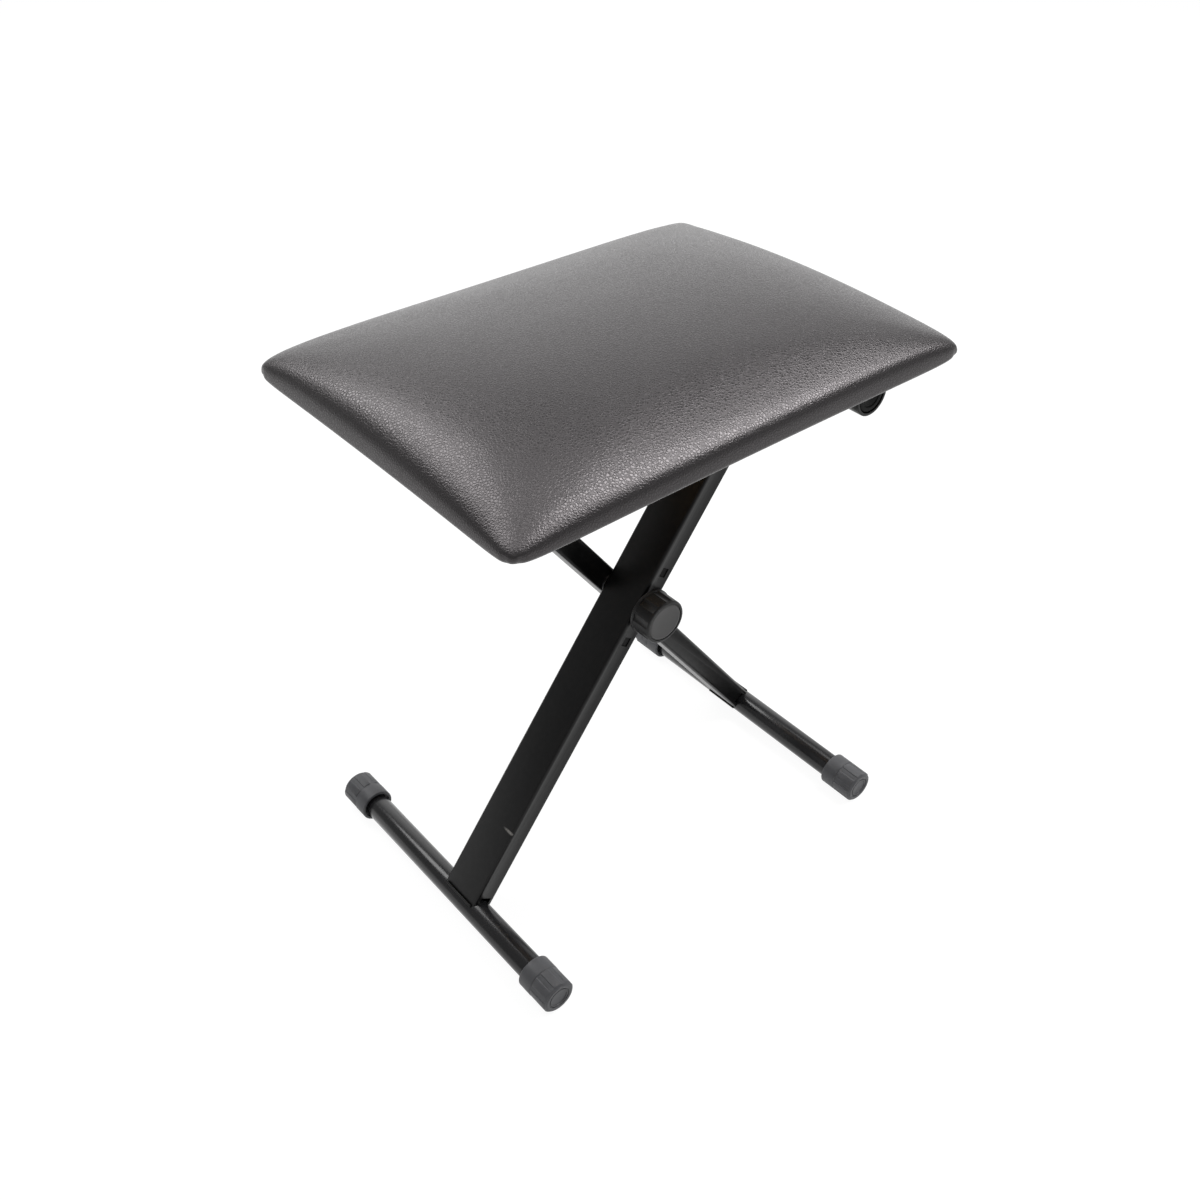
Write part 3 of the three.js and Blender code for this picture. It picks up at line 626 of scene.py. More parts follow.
def settled_dust() -> bpy.types.NodeTree:
    """A trace of dust on what faces up.

    Returns:
        A group that puts out a mask, 1 where dust lies.
    """
    def write(sheet: NodeSheet, given: Sockets) -> Sockets:
        """Upward faces, thinned by fine specks."""
        normal = sheet.add("ShaderNodeNewGeometry").outputs["Normal"]
        rise = sheet.add("ShaderNodeSeparateXYZ", {0: normal}).outputs["Z"]
        specks = sheet.spread(sheet.noise(2200.0, 2.0), 0.62, 0.74)
        mask = sheet.sums("MULTIPLY", sheet.spread(rise, 0.2, 1.0), specks)
        return {"Mask": sheet.sums("MULTIPLY", mask, given["Amount"], clamp=True)}

    return shared_group("settled_dust", {"Amount": 0.2}, write)


def pebble_grain() -> bpy.types.NodeTree:
    """The pebbled grain that is embossed into vinyl.

    Returns:
        A group that puts out the grain's height and the mask of its valleys.
    """
    def write(sheet: NodeSheet, given: Sockets) -> Sockets:
        """Cells whose walls wander, each a small rounded pebble with pores."""
        wander_reach, dome_rise, pore_depth = 0.0009, 0.26, 0.04
        place = sheet.place()
        noise = sheet.add("ShaderNodeTexNoise", {"Vector": place, "Scale": given["Scale"], "Detail": 2.0})
        pull = sheet.vectors("SUBTRACT", noise.outputs["Color"], (0.5, 0.5, 0.5))
        reach = sheet.vectors("MULTIPLY", pull, (wander_reach, wander_reach, wander_reach))
        cells = sheet.add("ShaderNodeTexVoronoi", {"Vector": sheet.vectors("ADD", place, reach),
                                                   "Scale": given["Scale"]},
                          feature="DISTANCE_TO_EDGE")
        dome = sheet.spread(cells.outputs["Distance"], 0.0, dome_rise, interpolation_type="SMOOTHSTEP")
        pores = sheet.sums("MULTIPLY", sheet.noise(5200.0, 1.0), pore_depth)
        return {"Height": sheet.sums("ADD", dome, pores),
                "Valley": sheet.sums("SUBTRACT", 1.0, dome, clamp=True)}

    return shared_group("pebble_grain", {"Scale": 900.0}, write)


# Finishes


@dataclass(frozen=True)
class Finish:
    """What a piece is made of: the base of every finish."""

    name: str
    slot: str
    tone: Tone
    roughness: float
    gloss: float = 0.5
    lift: float = 1.15
    cloud_scale: float = 14.0
    skin_scale: float = 900.0
    gloss_drift: float = 0.06
    relief: float = 0.000012
    relief_share: float = 0.5
    dust: float = 0.05
    dust_tone: Tone = (0.35, 0.34, 0.33)

    def material(self) -> bpy.types.Material:
        """Hand out the finish's material, building it the first time.

        Returns:
            The material.
        """
        known = bpy.data.materials.get(self.name)
        if known:
            return known
        material = bpy.data.materials.new(self.name)
        material.use_nodes = True
        sheet = NodeSheet(material.node_tree)
        inputs = {"Specular IOR Level": self.gloss, **self.write(sheet)}
        shader = sheet.add("ShaderNodeBsdfPrincipled", inputs)
        sheet.add("ShaderNodeOutputMaterial", {0: shader.outputs[0]})
        return material

    def write(self, sheet: NodeSheet) -> Inputs:
        """Write the finish's nodes and return the shader's inputs."""
        raise NotImplementedError

    def clouds(self, sheet: NodeSheet) -> Socket:
        """The tone, drifting towards a lighter one."""
        lighter = tuple(min(1.0, part * self.lift) for part in self.tone)
        inputs = {"Tone": opaque(self.tone), "Second Tone": opaque(lighter), "Scale": self.cloud_scale}
        return sheet.group(tone_drift(), inputs)["Colour"]

    def dusted(self, sheet: NodeSheet, colour: Socket) -> Socket:
        """A colour under a trace of dust."""
        mask = sheet.group(settled_dust(), {"Amount": self.dust})["Mask"]
        return sheet.blend(mask, colour, opaque(self.dust_tone))

    def skin(self, sheet: NodeSheet) -> Sockets:
        """The height and the roughness of the finish's fine relief."""
        return sheet.group(fine_relief(), {"Scale": self.skin_scale, "Roughness": self.roughness,
                                           "Gloss Drift": self.gloss_drift})


@dataclass(frozen=True)
class Paint(Finish):
    """Paint on steel, with an even fine orange peel and edges rubbed pale."""

    rub: float = 0.04
    rub_scale: float = 220.0
    rubbed: Tone = (0.09, 0.088, 0.085)
    coat: float = 0.0
    coat_roughness: float = 0.12

    def write(self, sheet: NodeSheet) -> Inputs:
        """Drifting tone, rubbed edges, dust, and the skin as relief."""
        worn = sheet.group(edge_rub(), {"Scale": self.rub_scale, "Amount": self.rub})["Mask"]
        rubbed = sheet.blend(worn, self.clouds(sheet), opaque(self.rubbed))
        skin = self.skin(sheet)
        return {"Base Color": self.dusted(sheet, rubbed), "Roughness": skin["Roughness"],
                "Coat Weight": self.coat, "Coat Roughness": self.coat_roughness,
                "Normal": sheet.bump(skin["Height"], self.relief, self.relief_share)}


@dataclass(frozen=True)
class GlintPaint(Paint):
    """The leg's paint with a pale streak of painted highlight near its foot, where a small dent catches
    the light.
    """

    # A pale streak painted into the base colour as a highlight, the glint of a small dent
    mark: Point = (0.0, 0.0, 0.0)
    glint_length: float = 0.009
    glint_width: float = 0.0016
    glint_core: float = 0.35
    glint_tone: Tone = (0.42, 0.4, 0.38)

    def write(self, sheet: NodeSheet) -> Inputs:
        """The plain paint, then a short pale streak of painted highlight across the leg's edge."""
        inputs = super().write(sheet)
        shrink = (1 / self.glint_width, 1 / self.glint_length, 1 / self.glint_width)
        scaled = sheet.vectors("MULTIPLY", sheet.vectors("SUBTRACT", sheet.place(), self.mark), shrink)
        away = sheet.add("ShaderNodeVectorMath", {0: scaled}, operation="LENGTH").outputs["Value"]
        glint_mask = sheet.sums("MULTIPLY", sheet.spread(away, 1.0, self.glint_core),
                            sheet.noise(900.0, 3.0), clamp=True)
        # Painted highlight: the glint is blended into the base colour
        inputs["Base Color"] = sheet.blend(glint_mask, inputs["Base Color"], opaque(self.glint_tone))
        return inputs


@dataclass(frozen=True)
class Moulded(Paint):
    """Moulded plastic or rubber: drawn like paint, with a spark-eroded grain."""

    lift: float = 1.25
    cloud_scale: float = 60.0
    skin_scale: float = 1500.0
    gloss_drift: float = 0.12
    relief: float = 0.00006
    relief_share: float = 0.6
    dust: float = 0.15
    dust_tone: Tone = (0.4, 0.39, 0.38)
    rub: float = 0.35
    rub_scale: float = 400.0
    rubbed: Tone = (0.12, 0.12, 0.125)


@dataclass(frozen=True)
class Vinyl(Finish):
    """Pebble-grained vinyl, semi-matt."""

    lift: float = 1.18
    cloud_scale: float = 9.0
    skin_scale: float = 300.0
    relief: float = 0.00013
    pebble: float = 0.0021
    # How far, and towards which tone, painted shade darkens the grain's valleys
    valley_shade_share: float = 0.5
    valley_shade_tone: Tone = (0.004, 0.004, 0.004)
    valley_matt: float = 0.18
    sheen_tint: Tone = (1.0, 0.93, 0.95)

    def write(self, sheet: NodeSheet) -> Inputs:
        """Drifting tone, with painted shade darkening the valleys of the grain, which are also matter."""
        grain = sheet.group(pebble_grain(), {"Scale": 1 / self.pebble})
        # Painted shade: the base colour darkens in the grain's valleys
        deep = sheet.sums("MULTIPLY", grain["Valley"], self.valley_shade_share)
        shaded = sheet.blend(deep, self.clouds(sheet), opaque(self.valley_shade_tone))
        matt = sheet.sums("MULTIPLY", grain["Valley"], self.valley_matt)
        rough = sheet.sums("ADD", self.skin(sheet)["Roughness"], matt, clamp=True)
        return {"Base Color": self.dusted(sheet, shaded), "Roughness": rough,
                "Specular Tint": opaque(self.sheen_tint),
                "Normal": sheet.bump(grain["Height"], self.relief, self.relief_share)}


@dataclass(frozen=True)
class Steel(Finish):
    """Zinc-plated steel, clouded and finely scratched."""

    lift: float = 1.389
    cloud_scale: float = 120.0
    skin_scale: float = 700.0
    gloss_drift: float = 0.2
    relief: float = 0.00003
    relief_share: float = 0.4

    def write(self, sheet: NodeSheet) -> Inputs:
        """Clouded plating, a broken gloss and faint scratches."""
        skin = self.skin(sheet)
        return {"Base Color": self.clouds(sheet), "Roughness": skin["Roughness"], "Metallic": 1.0,
                "Normal": sheet.bump(skin["Height"], self.relief, self.relief_share)}


@dataclass(frozen=True)
class Plywood(Finish):
    """Raw plywood: long grain on the faces and plies along the edges."""

    gloss_drift: float = 0.15
    relief: float = 0.0002
    dark: Tone = (0.32, 0.2, 0.1)
    ply: float = 0.0015
    ply_share: float = 0.35
    stretch: Point = (6.0, 90.0, 90.0)

    def write(self, sheet: NodeSheet) -> Inputs:
        """Grain drawn out along X, crossed by the plies through the thickness."""
        place = sheet.place()
        stretched = sheet.add("ShaderNodeMapping", {"Vector": place, "Scale": self.stretch}).outputs[0]
        grain = sheet.noise(2.0, 6.0, Vector=stretched, Distortion=0.4)
        height = sheet.add("ShaderNodeSeparateXYZ", {0: place}).outputs["Z"]
        layer = sheet.sums("PINGPONG", sheet.sums("DIVIDE", height, self.ply), 1.0)
        share = sheet.sums("ADD", grain, sheet.sums("MULTIPLY", layer, self.ply_share), clamp=True)
        return {"Base Color": sheet.blend(share, opaque(self.dark), opaque(self.tone)),
                "Roughness": self.skin(sheet)["Roughness"],
                "Normal": sheet.bump(grain, self.relief, self.relief_share)}


@dataclass(frozen=True)
class Finishes:
    """Every finish of the bench."""

    leg_paint: Paint = Paint("leg_paint", "black_paint", (0.004, 0.004, 0.0042), 0.32, 0.22)
    foot_paint: Paint = Paint("foot_paint", "gloss_paint", (0.011, 0.011, 0.012), 0.24, 0.35, coat=0.2)
    cap_rubber: Moulded = Moulded("cap_rubber", "rubber", (0.06, 0.061, 0.066), 0.5)
    knob_plastic: Moulded = Moulded("knob_plastic", "plastic", (0.0095, 0.0095, 0.01), 0.42, 0.28,
                                    relief=0.00003)
    face_plastic: Moulded = Moulded("face_plastic", "plastic", (0.026, 0.025, 0.025), 0.38,
                                    relief=0.00002)
    # Black plastic darkened beyond the knob's as painted shade, for the bar plugs under the seat and the
    # guide block in the square holes
    shaded_plastic: Moulded = Moulded("shaded_plastic", "plastic", (0.003, 0.003, 0.003), 0.55, 0.12,
                                    relief=0.00001, rub=0.0, dust=0.0)
    seat_vinyl: Vinyl = Vinyl("seat_vinyl", "vinyl", (0.018, 0.0167, 0.0175), 0.22, 0.65)
    plating: Steel = Steel("zinc_plating", "steel", (0.4464, 0.4536, 0.468), 0.32)
    board: Plywood = Plywood("seat_plywood", "plywood", (0.55, 0.38, 0.21), 0.75)


FINISHES = Finishes()


# Legs


@dataclass
class LegTube:
    """One leg: a rectangular tube from the foot bar to the cross bar, with its weld seams."""

    label: str
    body: Body
    wall: float = 0.0015
    corner: float = 0.0025
    clearance: float = 0.0003
    thickness: float = 0.020
    edge: float = 0.00025
    notch: Pair = (0.011, 0.0035)
    bush_wall: float = 0.003
    square_reach: float = 0.032
    square_hole: Pair = (0.008, 0.007)
    bead_radius: float = 0.0021
    # Where the painted highlight sits: along the leg from the pivot, and in from its front face
    glint_place: Pair = (-0.219, 0.004)

    def __post_init__(self) -> None:
        """Read the tube's ends and width from the frame."""
        foot, cross = (NodeBox.of(f"{self.label}_{bar}_bar") for bar in ("foot", "cross"))
        tube = NodeBox.of(f"{self.label}_leg_tube")
        self.low_y, self.high_y = tube.low.y, tube.high.y
        self.pivot = joint_place("leg_fold")
        self.turn = leg_turn(self.label)
        self.foot_radius = foot.size.z / 2
        self.cross_radius = cross.size.z / 2
        self.lower = (self.pivot - in_plane(foot.centre)).length
        self.upper = (in_plane(cross.centre) - self.pivot).length

    def tube(self) -> Piece:
        """Model the tube in its own axes: bevelled long edges, open ends, a wall, and its cuts.

        Returns:
            The tube.
        """
        half = self.thickness / 2
        piece = block(f"{self.label}_leg", (-self.lower, self.low_y, -half),
                      (self.upper, self.high_y, half))
        with editing(piece):
            pick(piece, "EDGE", lambda a, b: abs(a.x - b.x) > self.thickness)
            bpy.ops.mesh.bevel(offset=self.corner, segments=6, affect="EDGES")
            pick(piece, "FACE", lambda middle, normal: abs(normal.x) > FACING)
            bpy.ops.mesh.delete(type="FACE")
        apply_modifier(piece, "SOLIDIFY", thickness=self.wall, offset=-1.0, use_even_offset=True)
        depth = 2 * (self.high_y - self.low_y)
        middle = (self.low_y + self.high_y) / 2
        notch_width, notch_height = self.notch
        saddles = ((-self.lower, self.foot_radius), (self.upper, self.cross_radius))
        tools = [drum("saddle", radius + self.clearance, (x, middle, 0), depth) for x, radius in saddles]
        tools.append(block("weld_notch", (-self.lower - half, self.low_y - half, -notch_width / 2),
                           (-self.lower + self.foot_radius + notch_height, self.high_y + half,
                            notch_width / 2)))
        combine(piece, "DIFFERENCE", *tools, *self.holes(middle, depth))
        soften(piece, self.edge, sharp=40.0)
        return moved(piece, self.pivot, self.turn)

    def holes(self, middle: float, depth: float) -> list[Piece]:
        """Cutting tools for the holes in the narrow walls.

        Args:
            middle: The tube's middle along Y.
            depth: How long a tool through both walls is.

        Returns:
            The tools, in the leg's own axes.
        """
        tube_radius = NodeBox.of("pivot_tube").size.x / 2 + self.clearance
        if self.body is Body.REAR_LEG:
            return [drum("pivot_bore", tube_radius, (0, middle, 0), depth)]
        bush_radius = NodeBox.of("lock_plunger").size.x / 2 + self.bush_wall + self.clearance
        tools = [drum("bush_hole", bush_radius, (0, self.low_y, 0), 4 * self.wall),
                 drum("pivot_hole", tube_radius, (0, self.high_y, 0), 4 * self.wall)]
        length, width = self.square_hole
        for x in (-self.square_reach, self.square_reach):
            tools.append(block("lug_hole", (x - length / 2, self.low_y - self.wall, -width / 2),
                               (x + length / 2, self.low_y + 2 * self.wall, width / 2)))
        return tools

    def welds(self) -> Piece:
        """Lay the four weld beads where the tube's wide walls meet the bars.

        Returns:
            The beads as one piece.
        """
        half = self.thickness / 2
        start = self.low_y + self.corner
        length = self.high_y - self.low_y - 2 * self.corner
        foot_x = -self.lower + math.sqrt(self.foot_radius ** 2 - half ** 2)
        cross_x = self.upper - math.sqrt(self.cross_radius ** 2 - half ** 2)
        beads = []
        for x in (foot_x, cross_x):
            for side in (-1, 1):
                z = side * (half + self.bead_radius / 3)
                beads.append(bead("weld", Vector((x, start, z)), length, self.bead_radius / 2))
        return moved(joined(f"{self.label}_leg_welds", beads), self.pivot, self.turn)

    def finish(self) -> Finish:
        """The leg's paint; the front leg has a painted highlight near its foot.

        Returns:
            The finish of the leg's tube.
        """
        paint = FINISHES.leg_paint
        if self.body is Body.REAR_LEG:
            return paint
        along, inset = self.glint_place
        mark = self.turn @ Vector((along, self.low_y + inset, self.thickness / 2)) + self.pivot
        return GlintPaint("glinting_leg_paint", paint.slot, paint.tone, paint.roughness, paint.gloss,
                            mark=tuple(mark))

    def build(self) -> None:
        """Build and dress the leg."""
        dress(self.tube(), self.finish(), self.body, f"{self.label}_leg_tube")
        dress(self.welds(), FINISHES.leg_paint, self.body)


# Bars, caps and plugs


@dataclass
class RoundBar:
    """A round tube across the bench."""

    node: str
    body: Body
    finish: Finish
    wall: float = 0.0015
    hollow: float = 0.012
    edge: float = 0.0003
    sides: int = 96

    def build(self) -> None:
        """Turn the bar with hollow ends, soften its rims and dress it."""
        box = NodeBox.of(self.node)
        radius = box.size.z / 2
        low, high = box.low.y, box.high.y
        bore = radius - self.wall
        piece = turned(f"{self.node}_tube", [
            (low + self.hollow, bore), (low, bore), (low, radius), (high, radius), (high, bore),
            (high - self.hollow, bore)], self.sides)
        soften(piece, self.edge)
        moved(piece, in_plane(box.centre))
        dress(piece, self.finish, self.body, self.node)


@dataclass
class FootCap:
    """The rubber cap on a foot bar: a smooth collar, a ring of raised panels and a ringed end."""

    label: str
    body: Body
    collar: float = 0.014
    panel_step: float = 0.0006
    panel_slope: float = 0.0004
    panel_share: float = 0.70
    panels: int = 8
    slack: float = 0.97
    sides: int = 96
    edge: float = 0.00022
    draft: float = 0.0001
    end_wall: float = 0.004
    end_chamfer: Pair = (0.0014, 0.0008)
    end_sink: float = 0.0002
    mouth_chamfer: float = 0.0006
    mouth_gap: float = 0.0012
    mouth_depth: float = 0.003
    fit: float = 0.0003
    ring_radius: float = 0.0088
    ring_width: float = 0.0011
    ring_depth: float = 0.0009
    rim_radius: float = 0.0126
    rim_depth: float = 0.0005
    sole_depth: float = 0.0005

    def model(self) -> Piece:
        """Turn the cap with its end towards -Y, raise its panels and flatten its sole.

        Returns:
            The cap.
        """
        box = NodeBox.of(f"{self.label}_foot_cap_front")
        radius = box.size.x / 2
        end, mouth = box.low.y, box.high.y
        base = radius - self.panel_step
        shoulder = mouth - self.collar
        bore = NodeBox.of(f"{self.label}_foot_bar").size.z / 2 + self.fit
        groove, middle, step = end + self.ring_depth, end + self.end_sink, end + self.rim_depth
        inner, outer = self.ring_radius - self.ring_width, self.ring_radius + self.ring_width
        run, drop = self.end_chamfer
        piece = turned("cap_model", [
            (groove, inner - self.draft), (middle, inner), (middle, self.ring_radius - self.draft),
            (groove, self.ring_radius), (groove, outer), (end, outer + self.draft),
            (end, self.rim_radius), (step, self.rim_radius + self.draft), (step, base - drop),
            (end + run, base), (shoulder - self.panel_step, base), (shoulder, radius),
            (mouth - self.mouth_chamfer, radius), (mouth, radius - self.mouth_chamfer),
            (mouth, bore + self.mouth_gap), (mouth - self.mouth_depth, bore + self.mouth_gap),
            (mouth - self.mouth_depth, bore), (end + self.end_wall, bore)], self.sides)
        self.raise_panels(piece, base, end, shoulder)
        soften(piece, self.edge, sharp=35.0)
        combine(piece, "DIFFERENCE", block("sole_cut", (-radius, end - self.collar, -2 * radius),
                                           (radius, mouth + self.collar, -radius + self.sole_depth)))
        smooth(piece, 35.0)
        return piece

    def raise_panels(self, piece: Piece, base: float, end: float, shoulder: float) -> None:
        """Inset every panel's faces and lift them by the panel's step.

        Args:
            piece: The turned cap.
            base: The radius that the panels stand on.
            end: The cap's end face along Y.
            shoulder: Where the collar starts.
        """
        pitch = math.tau / self.panels

        def on_panel(middle: Vector, normal: Vector) -> bool:
            """Whether a side face lies inside one of the panels' shares of the ring."""
            along = end + self.end_chamfer[0] < middle.y < shoulder - self.panel_step
            around = math.atan2(middle.x, -middle.z) % pitch
            around = min(around, pitch - around)
            outside = abs(normal.y) < 1 - FACING and math.hypot(middle.x, middle.z) > base * self.slack
            return along and outside and around < pitch * self.panel_share / 2

        with editing(piece):
            pick(piece, "FACE", on_panel)
            bpy.ops.mesh.inset(thickness=self.panel_slope, depth=self.panel_step, use_even_offset=True)

    def build(self) -> None:
        """Set the cap on both ends of the foot bar."""
        at_both_ends(self.model(), FINISHES.cap_rubber, self.body, self.label, "foot", "foot_cap")


@dataclass
class BarPlug:
    """The dished plastic plug in each end of a cross bar."""

    label: str
    body: Body
    flange: float = 0.0015
    flange_round: float = 0.0006
    dish_radius: float = 0.0085
    dish_depth: float = 0.0007
    gate: tuple[float, float, float] = (0.0025, 0.0018, 0.0004)
    stem_inset: float = 0.0018
    stem_wall: float = 0.0016
    stem_hollow: float = 0.010
    edge: float = 0.0002

    def build(self) -> None:
        """Turn the plug and set it in both ends of the cross bar."""
        box = NodeBox.of(f"{self.label}_bar_plug_front")
        radius = box.size.x / 2
        face, tail = box.low.y, box.high.y
        stem = radius - self.stem_inset
        floor = face + self.dish_depth
        gate, pit, pit_depth = self.gate
        model = turned("plug_model", [
            (tail - self.stem_hollow, stem - self.stem_wall), (tail, stem - self.stem_wall),
            (tail, stem), (face + self.flange, stem), (face + self.flange, radius),
            (face + self.flange_round, radius), (face, radius - self.flange_round),
            (face, self.dish_radius + self.flange_round), (floor, self.dish_radius),
            (floor, gate), (floor + pit_depth, pit)])
        soften(model, self.edge)
        # The plugs take the darkened plastic: painted shade under the seat
        at_both_ends(model, FINISHES.shaded_plastic, self.body, self.label, "cross", "bar_plug")


# Pivot and knob


@dataclass
class LockKnob:
    """The pull knob: a gripped shell with a flange behind and a plain disc in front."""

    grip_radius: float = 0.0072
    grip_depth: float = 0.0011
    grip_shift: float = 0.0008
    grip_gap: float = 0.0012
    grips: int = 8
    flange_radius: float = 0.0196
    flange_depth: float = 0.003
    flange_lip: float = 0.0006
    flange_round: float = 0.0005
    step_round: float = 0.0004
    front_round: tuple[float, float, float, float] = (0.0012, 0.0003, 0.0005, 0.0013)
    rim: float = 0.003
    wall: float = 0.0022
    hub_radius: float = 0.0065
    fit: float = 0.0003
    disc_thickness: float = 0.0016
    disc_sink: float = 0.0001
    disc_round: Pair = (0.0005, 0.0007)
    disc_dish: tuple[float, float, float] = (0.0022, 0.00025, 0.003)
    edge: float = 0.00025
    disc_edge: float = 0.00015
    sides: int = 128

    def __post_init__(self) -> None:
        """Read the knob's place from the frame."""
        box = NodeBox.of("lock_knob")
        self.front, self.back = box.low.y, box.high.y
        self.pivot = joint_place("leg_fold")
        self.turn = leg_turn("front")
        self.radius = self.flange_radius - self.flange_lip
        self.disc_radius = self.radius - self.rim

    def shell(self) -> Piece:
        """Turn the shell and scoop its grips.

        Returns:
            The shell.
        """
        seat = self.front + self.disc_thickness
        web = seat + self.wall
        inner = self.radius - self.wall - self.grip_depth
        step = self.back - self.flange_depth
        outer, lip, fit = self.flange_radius, self.flange_round, self.fit
        deep, shallow, near, far = self.front_round
        piece = turned("knob_shell", [
            (self.back - fit, self.hub_radius), (web, self.hub_radius), (web, inner),
            (self.back, inner), (self.back, outer - lip), (self.back - lip, outer),
            (step + self.step_round, outer), (step, outer - self.step_round), (step, self.radius),
            (self.front + deep, self.radius), (self.front + shallow, self.radius - near),
            (self.front, self.radius - far), (self.front, self.disc_radius + fit),
            (seat, self.disc_radius + fit)], self.sides)
        reach = self.radius + self.grip_radius - self.grip_depth
        middle = (self.front + step) / 2 + self.grip_shift
        tools = []
        for number in range(self.grips):
            angle = (number + 0.5) * math.tau / self.grips
            centre = (reach * math.cos(angle), middle, reach * math.sin(angle))
            depth = step - self.front - self.grip_gap
            tools.append(drum("grip_tool", self.grip_radius, centre, depth, self.sides // 2))
        combine(piece, "DIFFERENCE", *tools)
        soften(piece, self.edge, sharp=28.0)
        return moved(piece, self.pivot, self.turn)

    def disc(self) -> Piece:
        """Turn the front disc with a soft edge and a shallow dish.

        Returns:
            The disc.
        """
        face, radius = self.front + self.disc_sink, self.disc_radius
        drop, inset = self.disc_round
        lip, dish_depth, dish_inset = self.disc_dish
        piece = turned("knob_face", [
            (self.front + self.disc_thickness - self.fit, radius), (self.front + drop, radius),
            (face, radius - inset), (face, radius - lip),
            (self.front + dish_depth, radius - dish_inset)], self.sides)
        soften(piece, self.disc_edge)
        return moved(piece, self.pivot, self.turn)

    def build(self) -> None:
        """Build and dress the knob."""
        dress(self.shell(), FINISHES.knob_plastic, Body.KNOB, "lock_knob")
        dress(self.disc(), FINISHES.face_plastic, Body.KNOB, "knob_disc")


@dataclass
class PivotFittings:
    """What shows of the pivot besides the knob: the bush in front and the plug behind."""

    clearance: float = 0.0003
    bush_flange: float = 0.010
    bush_radius: float = 0.006
    bush_edge: float = 0.0003
    stem_radius: float = 0.0047
    head_height: float = 0.003
    head_rise: tuple[Pair, ...] = (
        (0.0, 0.009), (0.0012, 0.009), (0.0022, 0.0082), (0.0028, 0.0068), (0.003, 0.005),
        (0.003, 0.0022), (0.0026, 0.0018))
    head_edge: float = 0.0002

    def build(self) -> None:
        """Turn the bush and the plug, and dress them."""
        pivot = joint_place("leg_fold")
        box = NodeBox.of("knob_bush")
        rod = NodeBox.of("lock_plunger").size.x / 2 + self.clearance
        flange = NodeBox.of("front_leg_tube").low.y - self.clearance
        bush = turned("bush_collar", [
            (box.low.y, rod), (box.low.y, self.bush_flange), (flange, self.bush_flange),
            (flange, self.bush_radius), (box.high.y, self.bush_radius), (box.high.y, rod)],
            closed=True)
        soften(bush, self.bush_edge)
        moved(bush, pivot, leg_turn("front"))
        dress(bush, FINISHES.plating, Body.FRONT_LEG, "knob_bush")
        box = NodeBox.of("pivot_plug")
        start = box.high.y - self.head_height
        head = [(start + rise, radius) for rise, radius in self.head_rise]
        plug = turned("pivot_cover", [(box.low.y, self.stem_radius), (start, self.stem_radius), *head])
        soften(plug, self.head_edge)
        dress(moved(plug, pivot), FINISHES.knob_plastic, Body.REAR_LEG, "pivot_plug")


@dataclass
class ReturnSpring:
    """The lock's return spring, wound at one length; the real spring shortens as the knob is pulled."""

    wire: float = 0.0006
    wire_sides: int = 10
    turns: int = 6
    steps: int = 24
    travel: float = 0.007

    def build(self) -> None:
        """Wind the wire round the lock's axis, close its ends and dress it."""
        box = NodeBox.of("return_spring")
        coil = box.size.x / 2 - self.wire
        rise = (box.size.y - 2 * self.wire) / self.turns
        bpy.ops.mesh.primitive_circle_add(vertices=self.wire_sides, radius=self.wire,
                                          location=(coil, 0, 0))
        piece = named("spring_coil")
        apply_modifier(piece, "SCREW", axis="Y", angle=math.tau, screw_offset=rise,
                       iterations=self.turns, steps=self.steps, render_steps=self.steps)
        with editing(piece, "SELECT"):
            bpy.ops.mesh.fill_holes(sides=self.wire_sides)
        moved(piece, Vector((box.centre.x, box.low.y + self.wire, box.centre.z)))
        tidy_normals(piece)
        smooth(piece, 60.0)
        dress(piece, FINISHES.plating, Body.FRONT_LEG, "return_spring")
        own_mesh(piece)


# Seat


